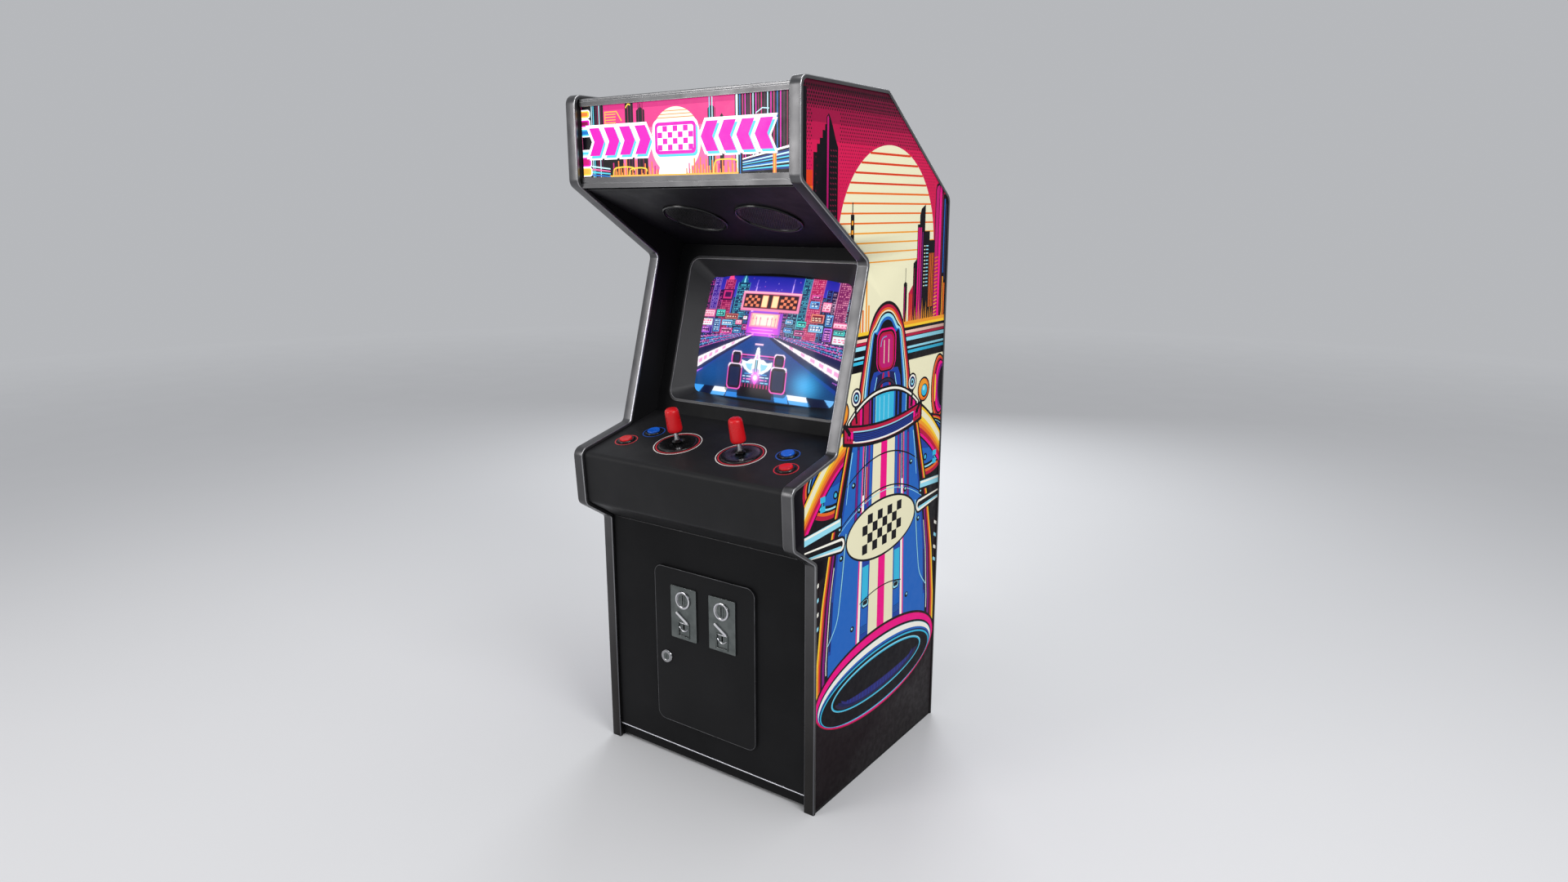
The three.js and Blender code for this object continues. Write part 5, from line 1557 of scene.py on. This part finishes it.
class GamePicture:
    """The game's picture: linear colours at the points x, s of the glass, painted back to front."""

    def __init__(self, x, s):
        self.x, self.s = x, s
        self.light = np.zeros((*x.shape, 3))
        self.rng = np.random.default_rng(57)

    def paint(self, mask, code, share=1.0):
        self.light[mask] = self.light[mask] * (1 - share) + np.array(ink_colour(code)) * share

    def inside(self, corners):
        """The points inside an outline, found by counting crossings to the right."""
        mask = np.zeros(self.x.shape, bool)
        for (x0, s0), (x1, s1) in zip(corners, list(corners[1:]) + list(corners[:1])):
            if s0 != s1:
                crossing = x0 + (self.s - s0) * (x1 - x0) / (s1 - s0)
                mask ^= ((s0 > self.s) != (s1 > self.s)) & (self.x < crossing)
        return mask

    def shape(self, code, corners, share=1.0):
        self.paint(self.inside(corners), code, share)

    def rect(self, code, x0, s0, x1, s1, share=1.0):
        across, up = (self.x >= x0) & (self.x <= x1), (self.s >= s0) & (self.s <= s1)
        self.paint(across & up, code, share)

    def rects(self, *rows):
        for row in rows:
            self.rect(*row)

    def pair(self, code, x0, s0, x1, s1, share=1.0):
        """Two rectangles, one on each side of the car's middle."""
        self.rect(code, VANISH_X - x1, s0, VANISH_X - x0, s1, share)
        self.rect(code, VANISH_X + x0, s0, VANISH_X + x1, s1, share)

    def glow(self, code, cx, cs, rx, rs, strength):
        reach = np.exp(-(((self.x - cx) / rx) ** 2 + ((self.s - cs) / rs) ** 2))
        self.light += np.array(ink_colour(code)) * (reach * strength)[..., None]

    def tower(self, coat, lit, x0, x1, top, share=0.9, gap=4.6):
        """A block with lit edges and rows of windows, some of them dark."""
        foot = 250
        self.rects((coat, x0, foot, x1, top), (lit, x0, foot, x0 + 1.6, top, 0.8),
                   (lit, x1 - 1.6, foot, x1, top, 0.5))
        x, s = self.x, self.s
        inside = (x > x0 + 3) & (x < x1 - 3) & (s > foot + 8) & (s < top - 3)
        window = ((x - x0) % gap < gap * 0.6) & (s % gap < gap * 0.42)
        chance = np.sin(np.floor((x - x0) / gap) * 12.99 + np.floor(s / gap) * 78.23) * 437.5
        self.paint(inside & window & (chance % 1 < 0.72), lit, share)

    def hoarding(self, x0, s0, wide, tall, colours):
        """A bright frame, a dark board, and bars of light on it in place of lettering."""
        edge, board, bar = colours
        self.rects(("08081e", x0 - 2, s0 - 2, x0 + wide + 2, s0 + tall + 2, 0.8),
                   (edge, x0, s0, x0 + wide, s0 + tall),
                   (board, x0 + 2.2, s0 + 2.2, x0 + wide - 2.2, s0 + tall - 2.2))
        row = s0 + 4.5
        while row + 3 < s0 + tall - 2:
            start = x0 + 4
            while start + 3 < x0 + wide - 3:
                long = min(self.rng.uniform(3, 9), x0 + wide - 4 - start)
                self.rect(bar, start, row, start + long, row + 3.2)
                start += long + self.rng.uniform(2, 4)
            row += 6.4


def game_sky(screen):
    """Sky from violet haze up to deep blue, with stars, spires and the glow before them."""
    up = np.clip((screen.s - 300) / 130, 0, 1)[..., None]
    screen.light[:] = (np.array(ink_colour("5540e0")) * (1 - up)
                       + np.array(ink_colour("0b1c92")) * up)
    for _ in range(70):
        cx, cs = screen.rng.uniform(-240, 240), screen.rng.uniform(345, 430)
        code = "c9a8ff" if screen.rng.random() < 0.5 else "e86ad8"
        screen.rect(code, cx, cs, cx + 1.8, cs + 1.8, 0.9)
    for cx, top in ((-58, 418), (62, 420), (-104, 404)):
        screen.shape("9a7df0", [(cx - 9, 300), (cx, top), (cx + 9, 300)])
        screen.shape("efc8ff", [(cx - 3, 300), (cx, top - 12), (cx + 3, 300)])
    screen.glow("ff6ad0", VANISH_X, 300, 90, 46, 0.3)


def game_towers(screen):
    """Towers on both sides, lower towards the middle, then the ones with colours of their own."""
    coats = ("0a1440", "0d0c3c", "081c48", "160c3a", "082450")
    rng, edge = screen.rng, 262.0
    for way in (-1, 1):
        across = edge
        while across > 52:
            wide = rng.uniform(15, 28) * (0.45 + across / 330)
            top = 318 + (across / edge) ** 0.8 * 100 + rng.uniform(-30, 8)
            x0, x1 = sorted((VANISH_X + way * across, VANISH_X + way * (across - wide)))
            coat = coats[rng.integers(5)]
            screen.tower(coat, WINDOW_LIGHTS[rng.integers(6)], x0, x1, top, 0.75)
            across -= wide * 0.92
    screen.tower("3a1f8c", "c89fff", -222, -196, 424)
    screen.tower("0a2a56", "5fe0f8", -128, -84, 404, 0.95, 5.2)
    screen.shape("0f5f8a", [(-120, 404), (-106, 436), (-92, 404)])
    screen.shape("8ff0ff", [(-109, 404), (-106, 436), (-103, 404)])
    screen.tower("8c1450", "ff6f9f", -178, -140, 412, 0.9, 5.2)
    screen.shape("ff4f8a", [(-170, 412), (-159, 440), (-148, 412)])
    screen.rects(("240a3c", -182, 352, -136, 384), ("d82f7f", -176, 357, -142, 380),
                 ("3a0f4a", -171, 361, -147, 376))
    screen.tower("b01f5c", "ff8fae", 118, 156, 438, 0.85, 5.6)
    screen.tower("0a3a5c", "5fd8f0", 92, 116, 426, 0.9)
    screen.tower("7a1f5c", "ff9fc0", 196, 230, 424, 0.85, 5.6)


def game_hoardings(screen):
    kinds = (
        ("ff6fa8", "ffd8e8", "d02f6a"), ("3fe0d8", "06404a", "8ffff0"), ("ffffff", "e8f4ff", "ff3f7a"),
        ("5fb8ff", "0b2f7a", "c8ecff"), ("ff8f7a", "7a1030", "ffe0c0"), ("c86fff", "2a0f5a", "ff9ff0"),
        ("ff4fb0", "48083a", "ffb0e0"), ("8fd8ff", "0f5f9a", "ffffff"))
    for *place, kind in (
            (-240, 304, 44, 20, 0), (-188, 306, 32, 18, 1), (-246, 280, 46, 18, 2),
            (-192, 262, 24, 36, 3), (-160, 282, 40, 14, 7), (-150, 300, 46, 14, 4),
            (-160, 258, 42, 16, 6), (-240, 258, 34, 16, 5), (-108, 286, 22, 12, 0),
            (-112, 262, 26, 14, 3), (-84, 300, 14, 10, 2), (-82, 272, 16, 14, 6),
            (134, 306, 36, 22, 4), (132, 282, 40, 18, 7), (176, 300, 20, 30, 3),
            (200, 298, 54, 14, 0), (124, 344, 26, 18, 3), (124, 368, 26, 12, 6),
            (176, 260, 22, 34, 5), (204, 256, 46, 20, 2), (204, 280, 30, 12, 1),
            (96, 292, 26, 14, 1), (92, 268, 30, 14, 6), (60, 296, 22, 12, 7),
            (58, 274, 24, 12, 3), (160, 338, 24, 24, 0), (236, 320, 24, 26, 4)):
        screen.hoarding(*place, kinds[kind])


def game_gate(screen):
    """The bright gate at the end of the street."""
    screen.rects(("9a3fd0", -66, 258, 48, 322), ("ff8fb0", -58, 282, 38, 320),
                 ("ffd8bc", -53, 286, 33, 318), ("fff0e0", -40, 288, 18, 316))
    for cx in (-50, -38, -24, 0, 14, 26):
        screen.rect("ff7f9c", cx, 284, cx + 2.6, 304, 0.85)
        screen.shape("ff5f9a", [(cx - 1, 304), (cx + 1.3, 312), (cx + 3.6, 304)])
    screen.rect("d03fd8", -62, 258, 42, 282, 0.8)
    for k in range(5):
        step, level = 3 * k, 4.2 * k
        code = "ffb0f0" if k % 2 else "7a2fd0"
        screen.rect(code, -56 + step, 261 + level, 34 - step, 263 + level, 0.9)
    screen.glow("ff7fe0", VANISH_X, 268, 40, 16, 0.4)


def game_road(screen):
    """The ground, its verges, and the road that darkens towards the car."""
    far_s, near_s = 257, 84
    screen.paint(screen.s < VANISH_S - 6, "0a1648")
    screen.shape("123a8e", [(VANISH_X - 20, far_s), (VANISH_X + 20, far_s), (330, near_s),
                            (-350, near_s)])
    near = np.clip((250 - screen.s) / 150, 0, 1)[..., None]
    road = screen.inside([(VANISH_X - 24, far_s), (VANISH_X + 24, far_s), (300, near_s),
                          (-324, near_s)])
    tone = np.array(ink_colour("1c4590")) * (1 - near) + np.array(ink_colour("0b3c6c")) * near
    screen.light[road] = tone[road]
    speckle = screen.rng.uniform(0.88, 1.12, screen.x.shape)
    screen.light[road] *= speckle[road][:, None]
    screen.glow("52c8ff", 145, 138, 36, 34, 0.6)
    screen.glow("2f7fd8", -170, 150, 60, 36, 0.12)


def game_verge(screen, way, far_x, near_x):
    """One side of the road: its striped kerb, then thin rails and the lights in the stands."""
    near_s, wide = 148, 26
    screen.shape("fff6ff", [(far_x - 2, VANISH_S), (far_x + 2, VANISH_S), (near_x, near_s - 6),
                            (near_x + way * 4, near_s + wide)])
    for k in range(9):
        t = (k / 9) ** 0.6
        (x0, s0), (x1, s1) = [
            (far_x + (near_x - far_x) * v, VANISH_S + (near_s + 4 - VANISH_S) * v)
            for v in (t, t + 0.035 + 0.03 * t)]
        thick = 3 + 11 * t
        screen.shape("ff7fc8", [(x0, s0), (x0, s0 + thick), (x1, s1 + thick), (x1, s1)], 0.8)
    screen.shape("c86af0", [(near_x * 0.78, near_s + 10), (near_x, near_s - 20),
                            (near_x, near_s - 8)])
    for k in range(10):
        rise, code = 4.6 * k, ("e86ac8", "101a5a", "3fa8f0", "0c1446")[k % 4]
        start = far_x + way * 8
        screen.shape(code, [(start, 263), (start, 263.4 + 0.15 * k), (near_x, 207.6 + rise),
                            (near_x, 205 + rise)], 0.9)
    for _ in range(240):
        v = screen.rng.uniform(0.1, 1) ** 0.7
        cx = far_x + (near_x - far_x) * v
        cs = VANISH_S - 56 * v + screen.rng.uniform(-1, 46) * v
        code = WINDOW_LIGHTS[screen.rng.integers(6)]
        screen.rect(code, cx, cs, cx + 3.4 * v, cs + 1.7, 0.9)


def game_start_line(screen):
    """Slanted blocks across the road, the white ones shaded at their feet."""
    for x0, x1, code in ((-246, -198, "3f9ff0"), (-198, -156, "0a1030"), (-156, -104, "f4f8ff"),
                         (-104, -60, "2f86e0"), (52, 94, "3f9ff0"), (94, 152, "f4f8ff"),
                         (152, 204, "0a1030"), (204, 262, "6fb8f8")):
        skew = (x0 + 12) * 0.10
        near, far = (x0 + skew, 86), (x1 + skew, 86)
        screen.shape(code, [near, far, (x1, 110), (x0, 110)])
        if code == "f4f8ff":
            screen.shape("58b0f8", [near, far, (x1 + skew * 0.6, 96), (x0 + skew * 0.6, 96)])


def game_car(screen):
    """The car from behind: shadow, rear wing, wheels with lit rims, body, ribs and its lamp."""
    middle = VANISH_X
    screen.rect("05060f", middle - 58, 90, middle + 58, 128)
    screen.shape("04050e", rounded(box(middle - 104, 100, middle + 104, 122), 9, 30), 0.7)
    for row in (("101633", 36, 196, 62, 208), ("ff6fd0", 8, 203, 58, 206),
                ("8a2f9a", 8, 196, 58, 199)):
        screen.pair(*row)
    for way in (-1, 1):
        for x0, x1, s0, s1, turn in ((54, 90, 176, 214, 9), (48, 100, 108, 180, 12)):
            a, b = sorted((middle + way * x0, middle + way * x1))
            screen.shape("ff5fc8", rounded(box(a, s0, b, s1), turn, 30))
            screen.shape("ffe8ff", rounded(box(a + 1, s1 - 16, b - 1, s1 - 0.5), 7, 30))
            screen.shape("070818", rounded(box(a + 3.4, s0 + 3, b - 3.4, s1 - 3.6), turn - 2, 30))
            screen.shape("16264e", rounded(box(a + 9, s0 + 10, b - 9, s1 - 11), 4, 30), 0.8)
        for code, share, spread in (
                ("f4fbff", 1, [(2, 196), (22, 194), (34, 186), (52, 190), (50, 176), (40, 166),
                               (26, 158), (14, 152), (2, 150)]),
                ("7fd0f0", 0.9, [(14, 182), (38, 180), (30, 168), (16, 162)]),
                ("9f8ff0", 0.8, [(4, 170), (12, 166), (10, 154), (3, 154)])):
            screen.shape(code, [(middle + way * x, s) for x, s in spread], share)
    for x0, x1, level, tall, code in (
            (14, 44, 146, 3, "c8f0ff"), (10, 38, 153, 2.4, "3fa0e0"), (16, 40, 138, 2.6, "ff8fe0"),
            (18, 44, 130, 3, "8fe0ff"), (30, 34, 130, 22, "2a4a90")):
        screen.pair(code, x0, level, x1, level + tall)
    screen.shape("ffffff", [(middle - 10, 192), (middle - 5, 224), (middle, 228),
                            (middle + 5, 224), (middle + 10, 192)])
    screen.shape("ffb0e8", [(middle - 4, 196), (middle, 214), (middle + 4, 196)])
    screen.rects(("ffd0f0", middle - 14, 233, middle + 14, 237),
                 ("0c1430", middle - 4.5, 152, middle + 4.5, 192),
                 ("9fe8ff", middle - 1.4, 150, middle + 1.4, 192))
    screen.shape("ff4fc8", [(middle - 12, 150), (middle, 122), (middle + 12, 150), (middle, 160)])
    screen.glow("ff5fe0", middle, 145, 13, 13, 1.3)
    screen.glow("ffffff", middle, 145, 6, 6, 1.4)
    for k in range(9):
        start = middle - 44 + 10.4 * k
        screen.rect("e02f8a", start, 117, start + 2.6, 128)


def game_sign(screen):
    """The paused sign: two bars between chequers, and no word."""
    screen.rects(("ff8fb8", -100, 326, 94, 380), ("ffc8d8", -98, 376, 92, 378.5),
                 ("10061c", -93, 333, 87, 373))
    for x0 in (-29, 5):
        screen.rects(("ff6f5a", x0 - 2, 335.5, x0 + 20, 370.5),
                     ("ffe8b0", x0, 337.5, x0 + 18, 368.5))
    for k in range(5):
        for way in (-1, 1):
            cx = -3 + way * (40 + 10 * k)
            for row in range(k % 2, 4, 2):
                low = 337.5 + 8 * row
                screen.rect("ff8f6a", cx - 4.6, low, cx + 4.6, low + 7, 0.95)


def game_picture(x, s):
    screen = GamePicture(x, s)
    game_sky(screen)
    game_towers(screen)
    game_hoardings(screen)
    game_gate(screen)
    game_road(screen)
    game_verge(screen, -1, -38, -268)
    game_verge(screen, 1, 14, 280)
    game_start_line(screen)
    game_car(screen)
    game_sign(screen)
    return screen.light


def blurred(picture, reach):
    """A picture softened over a reach in grid steps."""
    steps = np.arange(-3 * reach, 3 * reach + 1)
    weights = np.exp(-(steps / reach) ** 2 / 2)
    weights /= weights.sum()
    for axis in (0, 1):
        pad = [(3 * reach, 3 * reach) if a == axis else (0, 0) for a in range(3)]
        wide = np.pad(picture, pad, mode="edge")
        size = picture.shape[axis]
        picture = sum(w * np.take(wide, range(k, k + size), axis) for k, w in enumerate(weights))
    return picture


def lit_picture(x, y):
    """The game as the tube shows it: spread to the corners, softened, lined and dark at its edge."""
    spread, fall, base = 0.985, 4, 0.003
    picture = game_picture(x * spread, PICTURE_S + y * spread)
    picture = picture * 0.92 + blurred(picture, 2) * 0.10 + blurred(picture, 8) * 0.07
    lines = 0.92 + 0.08 * np.cos(np.arange(len(x)) * math.pi)[:, None, None]
    edge = np.clip(np.minimum((246 - abs(x)) / fall, (173 - abs(y)) / fall), 0, 1)[..., None]
    return picture * lines * edge + base


def picture_tube():
    """The tube: a domed front with the picture on a fine grid, then its funnel, neck and base."""
    half, corner = (TUBE_HALF[0] - 1, TUBE_HALF[1] - 1), 34
    columns, rows = 348, 260
    u, v = np.meshgrid(np.linspace(-1, 1, columns + 1), np.linspace(-1, 1, rows + 1))
    flat = np.array([round_box_point(a, b, half, corner) for a, b in zip(u.ravel(), v.ravel())])
    x, y = flat[:, 0].reshape(u.shape), flat[:, 1].reshape(u.shape)
    depth = -(x ** 2 + y ** 2) / (2 * TUBE_CURVE)
    picture = lit_picture(x, y)
    points = list(zip(x.ravel(), y.ravel(), depth.ravel()))
    index = np.arange(len(points)).reshape(u.shape)
    faces = np.stack([index[:-1, :-1], index[:-1, 1:], index[1:, 1:], index[1:, :-1]], -1)
    faces = faces.reshape(-1, 4).tolist()
    front = len(faces)
    last = [int(i) for i in (*index[0, :-1], *index[:-1, -1], *index[-1, :0:-1], *index[:0:-1, 0])]
    square = [(u.ravel()[i], v.ravel()[i]) for i in last]
    for size, radius, height in (
            (half, corner, -70), ((255, 188), 34, -72), ((180, 134), 40, -135),
            ((110, 84), 36, -182), ((72, 57), 32, -212), ((56, 56), 55.9, -220),
            ((56, 56), 55.9, -248), ((50, 50), 49.9, -250), ((17, 17), 16.9, -252),
            ((17, 17), 16.9, -308), ((14, 14), 13.9, -310)):
        line = list(range(len(points), len(points) + len(square)))
        points += [(*round_box_point(a, b, size, radius), height) for a, b in square]
        for i in range(len(line)):
            j = (i + 1) % len(line)
            faces.append([last[i], line[i], line[j], last[j]])
        last = line
    faces.append(last)
    numbers = [int(k >= front) for k in range(len(faces))]
    at = seat(SCREEN, 0, PICTURE_S, -TUBE_FRONT)
    piece = make("tube_with_picture", [(points, faces, numbers)], at, (screen_glass, tube_back), 50)
    colours = np.ones((len(points), 4), np.float32)
    colours[:, :3] = 0.0
    colours[:picture[..., 0].size, :3] = picture.reshape(-1, 3)
    layer = piece.data.color_attributes.new("picture", "FLOAT_COLOR", "POINT")
    layer.data.foreach_set("color", colours.ravel())
    return stand_for(piece, "picture_tube")


screen_glass = Look("screen glass", grey(0.002), 0.12, shine=0.12).vary(4, 0.03)
attribute = screen_glass.tree.nodes.new("ShaderNodeAttribute")
attribute.attribute_name = "picture"
screen_glass.link(attribute.outputs["Color"], screen_glass.shader.inputs["Emission Color"])
screen_glass.put("Emission Strength", 1.15)
picture_tube()


# ---- studio, in metres --------------------------------------------------------------------------
HAZE = (0.47, 0.48, 0.50)
FLOOR_HALF, FADE_FROM, FADE_TO = 30, 3.0, 11.0


def studio_floor():
    """A pale floor that turns into the backdrop's haze further out."""
    floor = Look("pale floor", (0.62, 0.62, 0.63), 0.6, shine=0.2).vary(3, 0.05)
    reach = floor.tree.nodes.new("ShaderNodeVectorMath")
    reach.operation = "LENGTH"
    floor.link(floor.place, reach.inputs[0])
    far = floor.ramp(reach.outputs["Value"], FADE_FROM, FADE_TO)
    floor.recolour(far, floor.base, (0.0, 0.0, 0.0))
    floor.link(floor.ramp(far, 0, 1, 0.2, 0.0), floor.shader.inputs["Specular IOR Level"])
    floor.glow(HAZE, 1.0)
    floor.link(far, floor.shader.inputs["Emission Strength"])
    mesh = bpy.data.meshes.new("studio_floor")
    corners = box(-FLOOR_HALF, -FLOOR_HALF, FLOOR_HALF, FLOOR_HALF)
    mesh.from_pydata([(x, y, 0) for x, y in corners], [], [range(4)])
    mesh.materials.append(floor.material)
    sheet = bpy.data.objects.new("studio_floor", mesh)
    bpy.context.scene.collection.objects.link(sheet)


def studio_world():
    world = bpy.data.worlds.new("studio")
    bpy.context.scene.world = world
    world.use_nodes = True
    backdrop = world.node_tree.nodes["Background"]
    backdrop.inputs["Color"].default_value = (*HAZE, 1)
    backdrop.inputs["Strength"].default_value = 1.0


def soft_light(name, place, target, size, power, colour=(1, 1, 1)):
    data = bpy.data.lights.new(name, "AREA")
    data.shape, data.size, data.size_y = "RECTANGLE", size[0], size[1]
    data.energy, data.color = power, colour
    light = bpy.data.objects.new(name, data)
    bpy.context.scene.collection.objects.link(light)
    light.location = place
    aim = Vector(target) - Vector(place)
    light.rotation_euler = aim.to_track_quat("-Z", "Y").to_euler()


studio_floor()
studio_world()
soft_light("key", (3.6, -1.4, 3.4), (0.2, 0, 1.0), (2.0, 2.0), 105)
soft_light("front", (-2.1, -3.9, 2.3), (0.2, -0.2, 1.3), (1.8, 2.0), 60, (1.0, 0.98, 0.96))
soft_light("overhead", (0.2, -0.2, 4.6), (0, 0, 1.0), (3.0, 2.4), 60)
soft_light("rear_rim", (-1.9, 3.7, 2.4), (0, 0, 1.0), (2.0, 2.2), 80, (0.94, 0.97, 1.0))

# the photograph's camera, as it was solved
CAMERA_PLACE, CAMERA_TURN, CAMERA_LENS = (1.5903, -2.1558, 1.5186), (76.791, 0.0, 35.239), 22.59
camera = bpy.data.objects.new("view", bpy.data.cameras.new("view"))
bpy.context.scene.collection.objects.link(camera)
camera.data.lens, camera.data.sensor_width = CAMERA_LENS, 36.0
camera.location = CAMERA_PLACE
camera.rotation_euler = [math.radians(a) for a in CAMERA_TURN]
bpy.context.scene.camera = camera
bpy.context.scene.view_settings.view_transform = "Standard"
